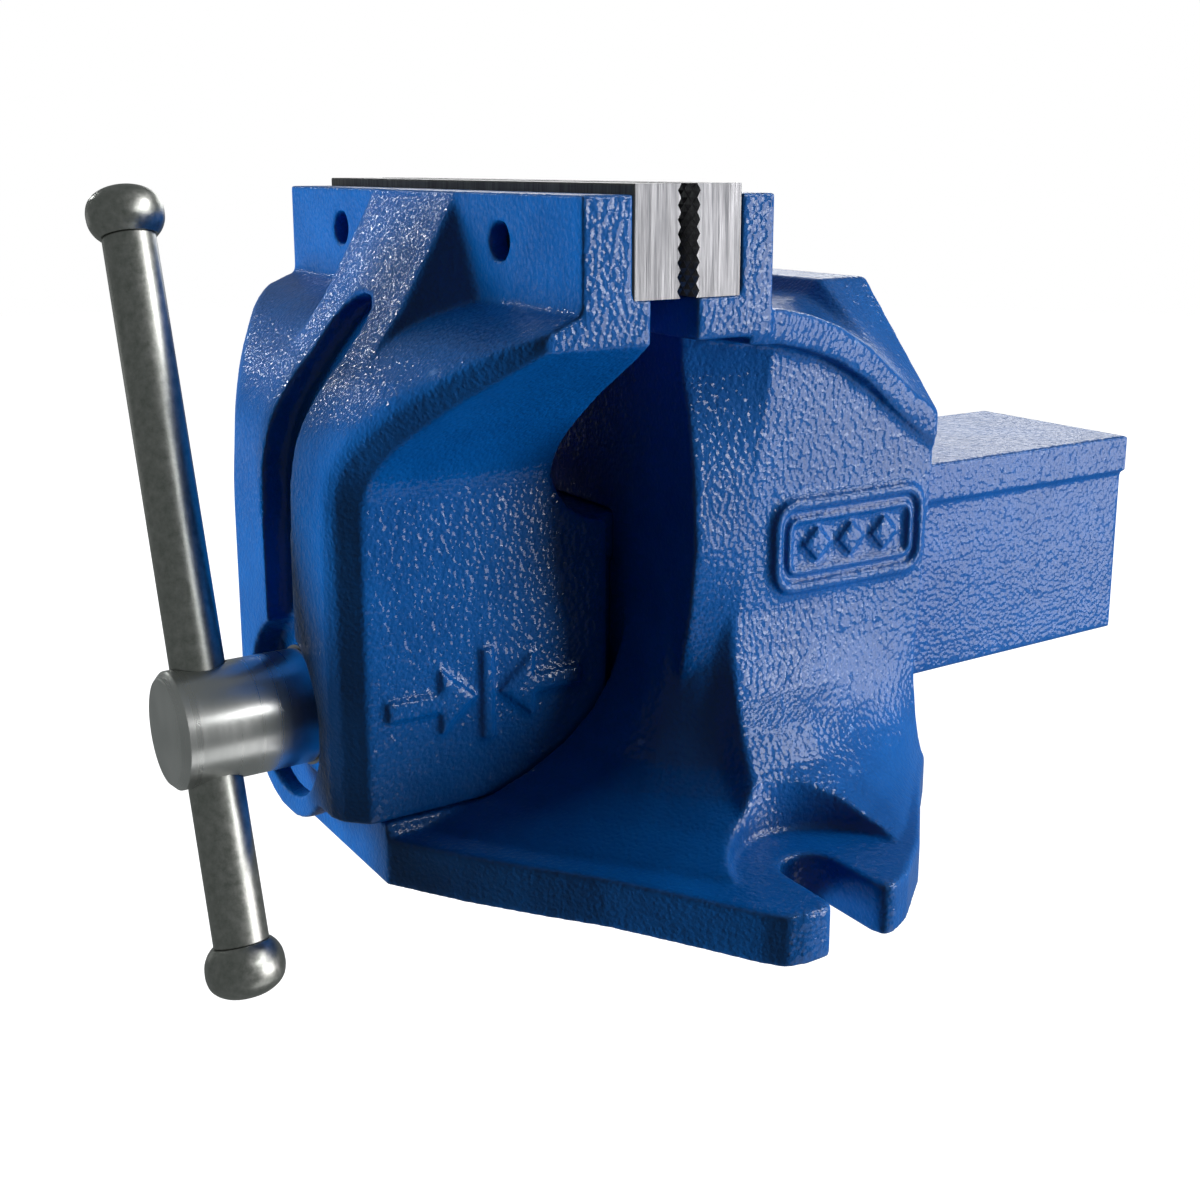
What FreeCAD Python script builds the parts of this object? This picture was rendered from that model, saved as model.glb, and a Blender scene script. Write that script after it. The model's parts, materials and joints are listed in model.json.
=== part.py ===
import FreeCAD, Part
import math
import os

# Bench vise, 115 mm jaws.  All lengths in millimetres.
# Frame: origin on the underside of the base, midway between the two bolt slots.
# +X across the jaws, -Y towards the operator, +Z up.

V = FreeCAD.Vector
X_AXIS = V(1, 0, 0)
Y_AXIS = V(0, 1, 0)
Z_AXIS = V(0, 0, 1)
ORIGIN = V(0, 0, 0)

OVER = 1.0          # how far a cutter runs past the face that it opens
BITE = 0.5          # how far a raised detail is sunk into its casting
OVERLAP = 3.0       # how far joined masses of one casting run into each other
FLAT = 0.01         # an edge spanning less than this along an axis doesn't run that way

# --- jaws ---------------------------------------------------------------
JAW_HALF = 57.5
JAW_TOP = 117.0
JAW_BOTTOM = 94.1
PLATE_T = 8.8
PLATE_BOTTOM = 101.0
PLATE_TOP = 118.6
GAP = 3.1
REAR_GRIP_Y = -12.0
REAR_SEAT_Y = REAR_GRIP_Y + PLATE_T
REAR_BACK_Y = 3.5
REAR_LEDGE_Y = -11.7
FRONT_GRIP_Y = REAR_GRIP_Y - GAP
FRONT_SEAT_Y = FRONT_GRIP_Y - PLATE_T
FRONT_FACE_Y = -33.0
FRONT_LEDGE_Y = -20.4
TOOTH_PITCH = 2.2
TOOTH_DEPTH = 0.6

# --- jaw plate screws (M6 countersunk) ---------------------------------------
PLATE_SCREW_X = 32.0
PLATE_SCREW_Z = 109.3
PLATE_SCREW_R = 3.0
PLATE_SCREW_HEAD_R = 5.8
PLATE_SCREW_HEAD_DEPTH = 3.0
PLATE_SCREW_SINK = 1.0
PLATE_SCREW_LENGTH = 14.0
SCREW_HOLE_R = 3.2
HEX_SOCKET_R = 2.3
HEX_SOCKET_DEPTH = 2.4

# --- slide ----------------------------------------------------------------
SLIDE_LIP_HALF = 22.5
SLIDE_LIP_BOTTOM = 50.2
SLIDE_HALF = 21.3
SLIDE_TOP = 58.8
SLIDE_BOTTOM = 11.5
SLIDE_END_Y = 141.0
SLIDE_CLEARANCE = 0.3
CHANNEL_HALF = 15.2
CHANNEL_TOP = 50.0
CHANNEL_CORNER_R = 5.0

# --- moving block -----------------------------------------------------------
BLOCK_HALF = 27.2
BLOCK_FACE_Y = -61.0
BLOCK_REAR_Y = -8.6
BLOCK_WALL_Y = -45.0
SHOULDER_CHAMFER = 4.4
EDGE_CHAMFER = 1.5
SCALLOP_R = 12.0
RIB_HALF = 16.8
RIB_FOOT_HALF = 26.0
RIB_DROP = 18.0
RIB_START_Y = -31.0
GROOVE_HALF = 6.5
GROOVE_DEPTH = 4.5
GROOVE_TOP = 99.0
BOSS_RECESS_R = 16.0
BOSS_RECESS_Y = -55.5
CHIN_R = 20.0
CHIN_T = 3.6

# --- screw ------------------------------------------------------------------
SCREW_Z = 25.0
HEAD_R = 10.5
HEAD_END_Y = -82.7
HEAD_CHAMFER = 1.2
SHOULDER_Y = -57.65
JOURNAL_R = 8.0
JOURNAL_CLEARANCE = 0.08
THREAD_CORE_R = 5.9
THREAD_R = 8.0
THREAD_PITCH = 4.0
THREAD_START_Y = -26.0
THREAD_TURNS = 39
THREAD_FLANK = 0.27
THREAD_CREST = 0.60
THREAD_FOOT = 0.87
THREAD_RUN_IN = 1.0
SCREW_END_Y = 139.5
TAIL_R = 5.5
TAIL_START_Y = 131.0
TAIL_CHAMFER = 1.0
THRUST_WASHER_R = 11.0
THRUST_WASHER_T = 2.0
BUSH_R = 11.0
SPRING_R = 10.6
SPRING_WIRE_R = 1.1
SPRING_TURNS = 3.5
SPRING_GAP = 0.1
SPRING_STEPS_PER_TURN = 30
SPRING_WIRE_SIDES = 12
COLLAR_R = 12.5
COLLAR_T = 2.5
COLLAR_Y = -33.4
PIN_R = 1.5
PIN_ROUND = 0.6
COLLAR_PIN_HALF = 10.5
STOP_PIN_HALF = 8.5
PIN_HOLE_HALF = 20.0
COTTER_Y = -29.2
STOP_WASHER_R = 11.0
STOP_WASHER_Y = 131.4
STOP_WASHER_T = 2.5
STOP_PIN_Y = 136.0

# --- tommy bar ------------------------------------------------------------------
BAR_R = 4.8
BAR_HOLE_R = 5.1
BAR_HOLE_HALF = 20.0
BAR_Y = -75.3
BAR_LEAN_DEG = -19.2
BAR_UPPER = 93.2
BAR_LOWER = 43.1
KNOB_H = 9.4
SPIGOT_R = 3.5
SPIGOT_H = 5.0
# Outline of a knob from its lip: (height, radius).
KNOB_HR = [(0.0, 5.2), (0.9, 6.0), (2.2, 6.65), (3.6, 6.9), (5.2, 6.85), (6.8, 6.3), (8.1, 5.0), (9.0, 3.0),
           (KNOB_H, 0.0)]

# --- fixed body -------------------------------------------------------------------
BODY_HALF = 49.0
BODY_FRONT_Y = -5.0
CREASE_FOOT_Y = -0.8     # the upright crease on the side leans back as it rises
CREASE_LEAN = 0.13
BODY_REAR_Y = 50.0
REAR_FOOT_Y = 47.5       # the rear face leans forward below REAR_BEND_Z
REAR_LOW_Z = 24.0
REAR_BEND_Z = 65.0
TRUNK_TOP = 92.0
FLOOR_TOP = 11.2
TONGUE_FACE_Y = -54.0
TONGUE_HALF = 27.6
APPROACH_HALF = 27.8
APPROACH_TOP = 80.1
RIM_TAPER = 0.6
RIM_DEPTH = 6.0
FOOT_TOP = 8.8
SLOT_HALF = 5.0
SLOT_END_X = 70.0
SLOT_OPEN_X = 86.8
SLOT_MOUTH_R = 2.0
SLOT_CUT_TOP = 28.8
SEAT_X = 78.6
SEAT_Y = 1.5
SEAT_R = 16.5
SEAT_FLARE = 4.5
SEAT_H = 30.0
POCKET_IN = 30.0
POCKET_OUT = 41.5
POCKET_FRONT_Y = 4.0
POCKET_BACK_Y = 42.5
POCKET_TOP = 70.0
ANVIL_HALF = 29.0
ANVIL_TOP = 100.2

# --- nut -------------------------------------------------------------------------
NUT_FRONT_Y = 6.0
NUT_LENGTH = 28.0
NUT_HALF = 13.0
NUT_TOP = 38.5
NUT_CROWN_R = 8.0
NUT_BORE_R = 8.2
NUT_SCREW_DY = 9.0
NUT_SCREW_R = 2.5
NUT_SCREW_HEAD_R = 4.25
NUT_SCREW_HEAD_H = 5.0
NUT_SCREW_ENTRY = 4.0
NUT_SCREW_END_GAP = 0.4
NUT_SCREW_CLEARANCE = 0.25
NUT_WASHER_T = 1.2
NUT_WASHER_RIM_GAP = 0.3
NUT_WASHER_BORE_GAP = 0.2
NUT_COUNTERBORE_R = 5.0
NUT_COUNTERBORE_H = 6.6
DOWEL_R = 2.0
DOWEL_X = 8.5
DOWEL_DY = 4.0
DOWEL_DEPTH = 3.4

# --- cast badges ---------------------------------------------------------------
BADGE_Y = 29.5
BADGE_Z = 55.0
BADGE_L = 36.0
BADGE_H = 17.0
BADGE_RISE = 1.3
BADGE_INNER_RISE = 1.04
# Frames of the badge: (inset along, inset up, corner radius) of the outline and of the hole, and the rise.
BADGE_FRAMES = [((0.0, 0.0, 4.5), (1.8, 1.8, 3.0), BADGE_RISE),
                ((3.0, 3.3, 2.0), (4.0, 4.3, 1.2), BADGE_INNER_RISE)]
LOZENGE_HALF = 3.0
LOZENGE_PITCH = 8.0
MARK_Y = -34.0
MARK_Z = 31.0
MARK_RISE = 1.0
MARK_BAR_HALF_W = 1.0
MARK_BAR_HALF_H = 8.0
# Upper half outline of one arrow from its tip: (distance from the bar, half height).
ARROW_OUTLINE = [(2.5, 0.0), (9.0, 5.5), (9.0, 1.6), (19.0, 1.6)]

# Front outline of the moving casting under the jaw: (x, z) from the jaw end inwards.
HAUNCH_XZ = [(57.5, 94.0), (53.0, 90.8), (48.6, 88.0), (44.2, 85.2), (39.8, 82.1),
             (35.3, 78.6), (31.3, 75.0), (28.4, 71.2), (BLOCK_HALF, 66.5)]
# Side outline of its rounded front shoulder: (y, z) from the jaw face downwards.
SHOULDER_YZ = [(-33.0, 99.3), (-38.6, 97.0), (-45.0, 93.4), (-49.8, 89.0), (-53.5, 85.0),
               (-56.3, 81.0), (-58.5, 77.0), (-59.9, 72.5), (-60.7, 67.0), (BLOCK_FACE_Y, 59.0)]
# Side outline of the sloping centre rib above the shoulder.
RIB_YZ = [(-33.0, 116.2), (-38.0, 107.0), (-43.5, 97.5), (-50.0, 88.9)]
# Fixed body, half width of its front face at each height.
WALL_XZ = [(36.0, 0.0), (42.0, 24.6), (45.2, 36.0), (47.4, 45.0), (49.0, 57.0),
           (48.2, 70.0), (46.4, 80.0), (44.2, 87.0), (43.6, 95.0)]
# Stations along the body for the arch: (y, rim half width, rim z, roof z).
ARCH = [(-0.5, 57.3, 98.6, 98.0), (6.0, 57.0, 98.4, 96.8), (14.0, 55.4, 96.8, 96.0),
        (22.0, 53.8, 94.2, 96.0), (30.0, 52.4, 90.2, 96.4), (35.0, 51.6, 86.6, 97.2),
        (38.0, 51.2, 84.2, ANVIL_TOP), (44.0, 50.7, 79.8, ANVIL_TOP),
        (BODY_REAR_Y, 50.4, 76.0, ANVIL_TOP)]
# Half outline of the base (x, y) front to back, and the body outline it flares from.
FOOT_XY = [(TONGUE_HALF, TONGUE_FACE_Y), (40.0, -46.0), (50.0, -38.6), (60.0, -30.6), (72.0, -23.0),
           (83.1, -16.3), (85.8, -13.8), (SLOT_OPEN_X, -10.5), (SLOT_OPEN_X, 7.6), (84.9, 12.2),
           (77.0, 22.6), (68.0, 31.6), (59.0, 40.5), (50.5, BODY_REAR_Y)]
TRUNK_XY = [(TONGUE_HALF, -5.0), (32.0, -5.0), (37.0, -5.0), (41.0, -5.0), (43.6, -4.0),
            (45.6, -2.4), (47.4, 0.4), (49.0, 3.2), (49.0, 10.0), (49.0, 17.0),
            (49.0, 25.0), (49.0, 33.0), (49.0, 42.0), (49.0, REAR_FOOT_Y)]
# Flare of the trunk into the foot: (height, share of the way to the foot outline).
FLARE = [(44.0, 0.0), (36.0, 0.03), (29.5, 0.08), (24.0, 0.16), (19.0, 0.28), (15.0, 0.44),
         (12.0, 0.61), (9.6, 0.82), (6.8, 0.95)]
# How far each outline point lags behind that share, as an exponent: the front corners spread last.
FLARE_LAG = [1.0, 1.0, 1.0, 1.1, 1.3, 1.5, 1.5, 1.0, 1.0, 1.0, 1.0, 1.0, 1.0, 1.0]


def box(x0, x1, y0, y1, z0, z1):
    """Axis-aligned block between two corners."""
    return Part.makeBox(x1 - x0, y1 - y0, z1 - z0, V(x0, y0, z0))


def wide_box(half, y0, y1, z0, z1):
    """Block centred on X = 0."""
    return box(-half, half, y0, y1, z0, z1)


def rod_y(radius, y0, y1, x=0.0, z=SCREW_Z):
    """Cylinder along +Y."""
    return Part.makeCylinder(radius, y1 - y0, V(x, y0, z), Y_AXIS)


def rod_z(radius, z0, z1, x, y):
    """Cylinder along +Z."""
    return Part.makeCylinder(radius, z1 - z0, V(x, y, z0), Z_AXIS)


def fuse_all(shapes):
    """One solid out of overlapping shapes, seams removed."""
    whole = shapes[0]
    for shape in shapes[1:]:
        whole = whole.fuse(shape)
    return whole.removeSplitter()


def cut_all(shape, tools):
    """Remove every tool from the shape."""
    for tool in tools:
        shape = shape.cut(tool)
    return shape


def mirrored(shape):
    """Copy reflected across the X = 0 plane."""
    return shape.mirror(ORIGIN, X_AXIS)


def spline(points):
    """Smooth edge through the points."""
    curve = Part.BSplineCurve()
    curve.interpolate(points)
    return curve.toShape()


def face_of(edges):
    """Planar face bounded by the edges."""
    return Part.Face(Part.Wire(Part.__sortEdges__(edges)))


def polygon(points):
    """Closed planar wire through the points."""
    return Part.makePolygon(points + [points[0]])


def prism(points, direction):
    """Polygon pushed along the direction."""
    return Part.Face(polygon(points)).extrude(direction)


def loft(sections):
    """Solid through a list of matching polygons."""
    return Part.makeLoft([polygon(points) for points in sections], True, True)


def revolve_y(profile, z=SCREW_Z):
    """Solid of revolution about the screw axis from (y, r) pairs."""
    points = [V(0, y, z + r) for y, r in profile]
    return Part.Face(polygon(points)).revolve(V(0, 0, z), Y_AXIS, 360)


def annulus_y(outer, inner, y0, length):
    """Ring around the screw axis."""
    return rod_y(outer, y0, y0 + length).cut(rod_y(inner, y0, y0 + length))


# --- jaw plates and their screws --------------------------------------------------

def plate_screw_holes(y0, y1):
    """Clearance holes for both jaw plate screws."""
    return [rod_y(SCREW_HOLE_R, y0, y1, side * PLATE_SCREW_X, PLATE_SCREW_Z) for side in (-1, 1)]


def screw_cone(top, direction):
    """Countersunk shape of a plate screw's head."""
    return Part.makeCone(PLATE_SCREW_HEAD_R, PLATE_SCREW_R, PLATE_SCREW_HEAD_DEPTH, top, direction)


def countersinks(grip_y, inward):
    """Conical seats for both screw heads, opening at the gripping face."""
    seats = []
    for side in (-1, 1):
        mouth = V(side * PLATE_SCREW_X, grip_y, PLATE_SCREW_Z)
        floor = V(side * PLATE_SCREW_X, grip_y + inward * PLATE_SCREW_SINK, PLATE_SCREW_Z)
        direction = V(0, inward, 0)
        seats.append(Part.makeCylinder(PLATE_SCREW_HEAD_R, PLATE_SCREW_SINK, mouth, direction))
        seats.append(screw_cone(floor, direction))
    return seats


def tooth_grooves(grip_y, inward):
    """Horizontal V grooves across the gripping face."""
    grooves = []
    count = int((PLATE_TOP - PLATE_BOTTOM - TOOTH_PITCH) / TOOTH_PITCH)
    for index in range(count):
        z = PLATE_BOTTOM + TOOTH_PITCH * (index + 1)
        points = [V(-JAW_HALF - OVER, grip_y, z - TOOTH_DEPTH), V(-JAW_HALF - OVER, grip_y, z + TOOTH_DEPTH),
                  V(-JAW_HALF - OVER, grip_y + inward * TOOTH_DEPTH, z)]
        grooves.append(prism(points, V(2 * (JAW_HALF + OVER), 0, 0)))
    return grooves


def jaw_plate(grip_y, inward):
    """Hardened plate; inward is the Y direction from the gripping face into the plate."""
    seat_y = grip_y + inward * PLATE_T
    low, high = min(grip_y, seat_y), max(grip_y, seat_y)
    plate = wide_box(JAW_HALF, low, high, PLATE_BOTTOM, PLATE_TOP)
    tools = plate_screw_holes(low, high) + countersinks(grip_y, inward) + tooth_grooves(grip_y, inward)
    return cut_all(plate, tools)


def plate_screws(grip_y, inward):
    """Two countersunk screws as separate solids."""
    screws = []
    direction = V(0, inward, 0)
    for side in (-1, 1):
        top = V(side * PLATE_SCREW_X, grip_y + inward * PLATE_SCREW_SINK, PLATE_SCREW_Z)
        head = screw_cone(top, direction)
        shank = Part.makeCylinder(PLATE_SCREW_R, PLATE_SCREW_LENGTH, top, direction)
        socket = Part.makeCylinder(HEX_SOCKET_R, HEX_SOCKET_DEPTH, top, direction)
        screws.append(head.fuse(shank).removeSplitter().cut(socket))
    return Part.makeCompound(screws)


# --- moving jaw ------------------------------------------------------------------

def front_view_mass():
    """Haunch and block outline pushed along Y."""
    start_y = BLOCK_FACE_Y - OVER
    right = [V(x, start_y, z) for x, z in HAUNCH_XZ]
    left = [V(-x, start_y, z) for x, z in HAUNCH_XZ]
    low_right = V(BLOCK_HALF, start_y, SLIDE_BOTTOM)
    low_left = V(-BLOCK_HALF, start_y, SLIDE_BOTTOM)
    top_right = V(JAW_HALF, start_y, JAW_TOP)
    top_left = V(-JAW_HALF, start_y, JAW_TOP)
    edges = [spline(right), spline(left),
             Part.makeLine(right[-1], low_right), Part.makeLine(low_right, low_left),
             Part.makeLine(low_left, left[-1]), Part.makeLine(left[0], top_left),
             Part.makeLine(top_left, top_right), Part.makeLine(top_right, right[0])]
    return face_of(edges).extrude(V(0, FRONT_LEDGE_Y - start_y, 0))


def side_view_mass():
    """Shoulder outline pushed along X."""
    start_x = -JAW_HALF - OVER
    curve = [V(start_x, y, z) for y, z in SHOULDER_YZ]
    foot = V(start_x, BLOCK_FACE_Y, SLIDE_BOTTOM)
    back_low = V(start_x, FRONT_LEDGE_Y, SLIDE_BOTTOM)
    back_top = V(start_x, FRONT_LEDGE_Y, curve[0].z)
    edges = [spline(curve), Part.makeLine(curve[-1], foot), Part.makeLine(foot, back_low),
             Part.makeLine(back_low, back_top), Part.makeLine(back_top, curve[0])]
    return face_of(edges).extrude(V(-2 * start_x, 0, 0))


def is_shoulder_curve(edge):
    """True for the curves where the shoulder's front meets its sides: they run along all three axes."""
    spans = edge.BoundBox
    return min(spans.XLength, spans.YLength, spans.ZLength) > OVER


def is_block_corner(edge):
    """True for the upright corners of the block's front face."""
    spans = edge.BoundBox
    return spans.YMax < BLOCK_FACE_Y + BITE and spans.ZLength > BLOCK_HALF / 2 and spans.XLength < FLAT


def chamfered_mass():
    """Block and shoulder in one, with the corner between front and sides taken off."""
    mass = front_view_mass().common(side_view_mass())
    mass = mass.common(wide_box(JAW_HALF, BLOCK_FACE_Y, FRONT_LEDGE_Y, SLIDE_BOTTOM, JAW_TOP))
    mass = mass.makeChamfer(SHOULDER_CHAMFER, [edge for edge in mass.Edges if is_shoulder_curve(edge)])
    return mass.makeChamfer(EDGE_CHAMFER, [edge for edge in mass.Edges if is_block_corner(edge)])


def centre_rib():
    """Sloping web from the top of the jaw down onto the shoulder, wider at its foot."""
    crest = [(RIB_START_Y, RIB_YZ[0][1])] + RIB_YZ
    return loft([[V(-RIB_HALF, y, z), V(RIB_HALF, y, z),
                  V(RIB_FOOT_HALF, y, z - RIB_DROP), V(-RIB_FOOT_HALF, y, z - RIB_DROP)] for y, z in crest])


def scallop_block():
    """Rear part of the block with the hollow curve above the slide."""
    x = -BLOCK_HALF
    top = FRONT_LEDGE_Y - OVERLAP
    high = SLIDE_TOP + SCALLOP_R
    centre = V(x, FRONT_LEDGE_Y + SCALLOP_R, high)
    start = V(x, FRONT_LEDGE_Y, high)
    middle = centre + V(0, -SCALLOP_R * math.sqrt(0.5), -SCALLOP_R * math.sqrt(0.5))
    end = V(x, FRONT_LEDGE_Y + SCALLOP_R, SLIDE_TOP)
    low_back = V(x, BLOCK_REAR_Y, SLIDE_BOTTOM)
    low_front = V(x, top, SLIDE_BOTTOM)
    high_front = V(x, top, high)
    back_top = V(x, BLOCK_REAR_Y, SLIDE_TOP)
    edges = [Part.Arc(start, middle, end).toShape(), Part.makeLine(end, back_top),
             Part.makeLine(back_top, low_back), Part.makeLine(low_back, low_front),
             Part.makeLine(low_front, high_front), Part.makeLine(high_front, start)]
    return face_of(edges).extrude(V(2 * BLOCK_HALF, 0, 0))


def slide_section(extra, y0, y1, floor):
    """Lipped slide bar, grown by extra on its guided faces."""
    lip = wide_box(SLIDE_LIP_HALF + extra, y0, y1, SLIDE_LIP_BOTTOM - extra, SLIDE_TOP + extra)
    web = wide_box(SLIDE_HALF + extra, y0, y1, floor, SLIDE_TOP)
    return lip.fuse(web).removeSplitter()


def slide_channel():
    """Tunnel along the slide that clears the nut and screw, open below and at the rear."""
    tunnel = wide_box(CHANNEL_HALF, BLOCK_WALL_Y, SLIDE_END_Y + OVER, SLIDE_BOTTOM - OVER, CHANNEL_TOP)
    corners = [edge for edge in tunnel.Edges
               if abs(edge.BoundBox.ZMin - CHANNEL_TOP) < FLAT and edge.BoundBox.YLength > FLAT]
    return tunnel.makeFillet(CHANNEL_CORNER_R, corners)


def chin():
    """Lip of the screw boss below the block."""
    disc = rod_y(CHIN_R, BLOCK_FACE_Y, BLOCK_FACE_Y + CHIN_T)
    keep = wide_box(CHIN_R, BLOCK_FACE_Y, BLOCK_FACE_Y + CHIN_T, 0, SLIDE_BOTTOM + OVERLAP)
    return disc.common(keep)


def groove_cutter():
    """Round-ended groove down the middle of the casting, following its front outline."""
    outline = RIB_YZ[1:3] + SHOULDER_YZ[4:]
    rear = [V(-GROOVE_HALF, y + GROOVE_DEPTH, z) for y, z in outline]
    low = SCREW_Z
    front_y = BLOCK_FACE_Y - OVER
    points = rear + [V(-GROOVE_HALF, BLOCK_FACE_Y + GROOVE_DEPTH, low), V(-GROOVE_HALF, front_y, low),
                     V(-GROOVE_HALF, front_y, outline[0][1])]
    slab = prism(points, V(2 * GROOVE_HALF, 0, 0))
    crown_z = GROOVE_TOP - GROOVE_HALF
    window = wide_box(GROOVE_HALF, front_y, FRONT_FACE_Y, low - OVER, crown_z)
    window = window.fuse(rod_y(GROOVE_HALF, front_y, FRONT_FACE_Y, 0, crown_z))
    return slab.common(window)


def arrow_mark(side):
    """Raised clamping symbol on the block side: two arrows meeting at a bar."""
    x = side * (BLOCK_HALF - BITE)
    rise = V(side * (MARK_RISE + BITE), 0, 0)
    bar = [V(x, MARK_Y + dy, MARK_Z + dz) for dy, dz in (
        (-MARK_BAR_HALF_W, -MARK_BAR_HALF_H), (MARK_BAR_HALF_W, -MARK_BAR_HALF_H),
        (MARK_BAR_HALF_W, MARK_BAR_HALF_H), (-MARK_BAR_HALF_W, MARK_BAR_HALF_H))]
    shapes = [prism(bar, rise)]
    for way in (-1, 1):
        upper = [V(x, MARK_Y + way * dy, MARK_Z + dz) for dy, dz in ARROW_OUTLINE]
        lower = [V(x, MARK_Y + way * dy, MARK_Z - dz) for dy, dz in reversed(ARROW_OUTLINE[1:])]
        shapes.append(prism(upper + lower, rise))
    return shapes


def moving_jaw():
    """Front jaw casting with its block and slide."""
    upper = wide_box(JAW_HALF, FRONT_FACE_Y, FRONT_SEAT_Y, JAW_BOTTOM, JAW_TOP)
    ledge = wide_box(JAW_HALF, FRONT_FACE_Y, FRONT_LEDGE_Y, JAW_BOTTOM, PLATE_BOTTOM)
    mass = chamfered_mass()
    slide = slide_section(0.0, FRONT_LEDGE_Y - OVER, SLIDE_END_Y, SLIDE_BOTTOM)
    parts = [upper, ledge, mass, centre_rib(), scallop_block(), slide, chin()]
    body = fuse_all(parts + arrow_mark(1) + arrow_mark(-1))
    tools = [slide_channel(), groove_cutter(),
             rod_y(BOSS_RECESS_R, BLOCK_FACE_Y - OVER, BOSS_RECESS_Y),
             rod_y(BUSH_R, BLOCK_FACE_Y, BLOCK_WALL_Y + OVER)]
    tools += plate_screw_holes(FRONT_FACE_Y - OVER, FRONT_SEAT_Y)
    return cut_all(body, tools)


# --- fixed body -------------------------------------------------------------------

def crease_y(z):
    """Where the crease lies along the body at a height."""
    return CREASE_FOOT_Y + CREASE_LEAN * z


def front_wall():
    """Front wall of the body, its sides leaning out from the face to the crease."""
    face = [V(x, BODY_FRONT_Y, z) for x, z in WALL_XZ]
    face += [V(-p.x, p.y, p.z) for p in reversed(face)]
    crease = [V(BODY_HALF, crease_y(z), z) for _, z in WALL_XZ]
    crease += [V(-p.x, p.y, p.z) for p in reversed(crease)]
    return loft([face, crease])


def arch():
    """Roof and rim of the body behind the rear jaw."""
    sections = []
    for y, rim_x, rim_z, roof_z in ARCH:
        sections.append([V(-rim_x, y, rim_z), V(-ANVIL_HALF, y, roof_z), V(ANVIL_HALF, y, roof_z),
                         V(rim_x, y, rim_z), V(rim_x - RIM_TAPER, y, rim_z - RIM_DEPTH),
                         V(RIM_TAPER - rim_x, y, rim_z - RIM_DEPTH)])
    return loft(sections)


def trunk():
    """Straight-sided body under the arch."""
    front = [V(BODY_HALF, crease_y(z) - BITE, z) for z in (0, TRUNK_TOP)]
    top = [V(BODY_HALF, y, rim_z - RIM_DEPTH + BITE) for y, _, rim_z, _ in ARCH[2:]]
    rear = [V(BODY_HALF, BODY_REAR_Y, REAR_BEND_Z), V(BODY_HALF, REAR_FOOT_Y, REAR_LOW_Z),
            V(BODY_HALF, REAR_FOOT_Y, 0)]
    return prism(front + top + rear, V(-2 * BODY_HALF, 0, 0))


def blend_outline(share, z):
    """Outline part of the way from the trunk to the foot."""
    half = []
    for start, end, lag in zip(TRUNK_XY, FOOT_XY, FLARE_LAG):
        part = share ** lag
        half.append(V(start[0] + (end[0] - start[0]) * part, start[1] + (end[1] - start[1]) * part, z))
    return half + [V(-p.x, p.y, p.z) for p in reversed(half)]


def flare():
    """Hollow-curved spread of the trunk into the foot."""
    return loft([blend_outline(share, z) for z, share in FLARE])


def slot_cutter(side):
    """Bolt slot open at the end of the foot."""
    hole = rod_z(SLOT_HALF, -OVER, SLOT_CUT_TOP, side * (SLOT_END_X + SLOT_HALF), 0)
    x0, x1 = sorted((side * (SLOT_END_X + SLOT_HALF), side * (SLOT_OPEN_X + OVER)))
    return hole.fuse(box(x0, x1, -SLOT_HALF, SLOT_HALF, -OVER, SLOT_CUT_TOP))


def is_slot_mouth(edge):
    """True for the upright corners where a slot opens at the end of the foot."""
    spans = edge.BoundBox
    upright = spans.ZLength > FLAT and spans.XLength < FLAT and spans.YLength < FLAT
    return upright and abs(spans.Center.x) > SLOT_OPEN_X - BITE and abs(spans.Center.y) < SLOT_HALF + BITE


def foot_plate():
    """Flat base with both feet and their open slots."""
    outline = [V(x, y, 0) for x, y in FOOT_XY]
    outline += [V(-p.x, p.y, 0) for p in reversed(outline)]
    plate = cut_all(prism(outline, V(0, 0, FOOT_TOP)), [slot_cutter(1), slot_cutter(-1)])
    return plate.makeFillet(SLOT_MOUTH_R, [edge for edge in plate.Edges if is_slot_mouth(edge)])


def bolt_seat(side):
    """Round scoop that leaves a flat seat for the bolt head."""
    foot_spot = V(side * SEAT_X, SEAT_Y, FOOT_TOP)
    return Part.makeCone(SEAT_R, SEAT_R + SEAT_FLARE, SEAT_H, foot_spot, Z_AXIS)


def core_pocket(side):
    """Cored hollow between guide and outer wall, open below."""
    x0, x1 = sorted((side * POCKET_IN, side * POCKET_OUT))
    return box(x0, x1, POCKET_FRONT_Y, POCKET_BACK_Y, -OVER, POCKET_TOP)


def rounded_plate(side, inset_y, inset_z, radius, rise):
    """Rounded rectangle on the body side, inset from the badge's outline."""
    x0, x1 = sorted((side * (BODY_HALF - BITE), side * (BODY_HALF + rise)))
    half_y, half_z = BADGE_L / 2 - inset_y, BADGE_H / 2 - inset_z
    plate = box(x0, x1, BADGE_Y - half_y, BADGE_Y + half_y, BADGE_Z - half_z, BADGE_Z + half_z)
    corners = [edge for edge in plate.Edges if edge.BoundBox.XLength > FLAT]
    return plate.makeFillet(radius, corners)


def badge(side):
    """Plain double-framed cartouche with three lozenges."""
    shapes = []
    for outline, hole, rise in BADGE_FRAMES:
        shapes.append(rounded_plate(side, *outline, rise).cut(rounded_plate(side, *hole, rise + OVER)))
    x = side * (BODY_HALF - BITE)
    for index in (-1, 0, 1):
        y = BADGE_Y + index * LOZENGE_PITCH
        points = [V(x, y - LOZENGE_HALF, BADGE_Z), V(x, y, BADGE_Z + LOZENGE_HALF),
                  V(x, y + LOZENGE_HALF, BADGE_Z), V(x, y, BADGE_Z - LOZENGE_HALF)]
        shapes.append(prism(points, V(side * (BADGE_INNER_RISE + BITE), 0, 0)))
    return shapes


def nut_screw_ys():
    """Y stations of the two nut screws."""
    middle = NUT_FRONT_Y + NUT_LENGTH / 2
    return [middle - NUT_SCREW_DY, middle + NUT_SCREW_DY]


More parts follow.
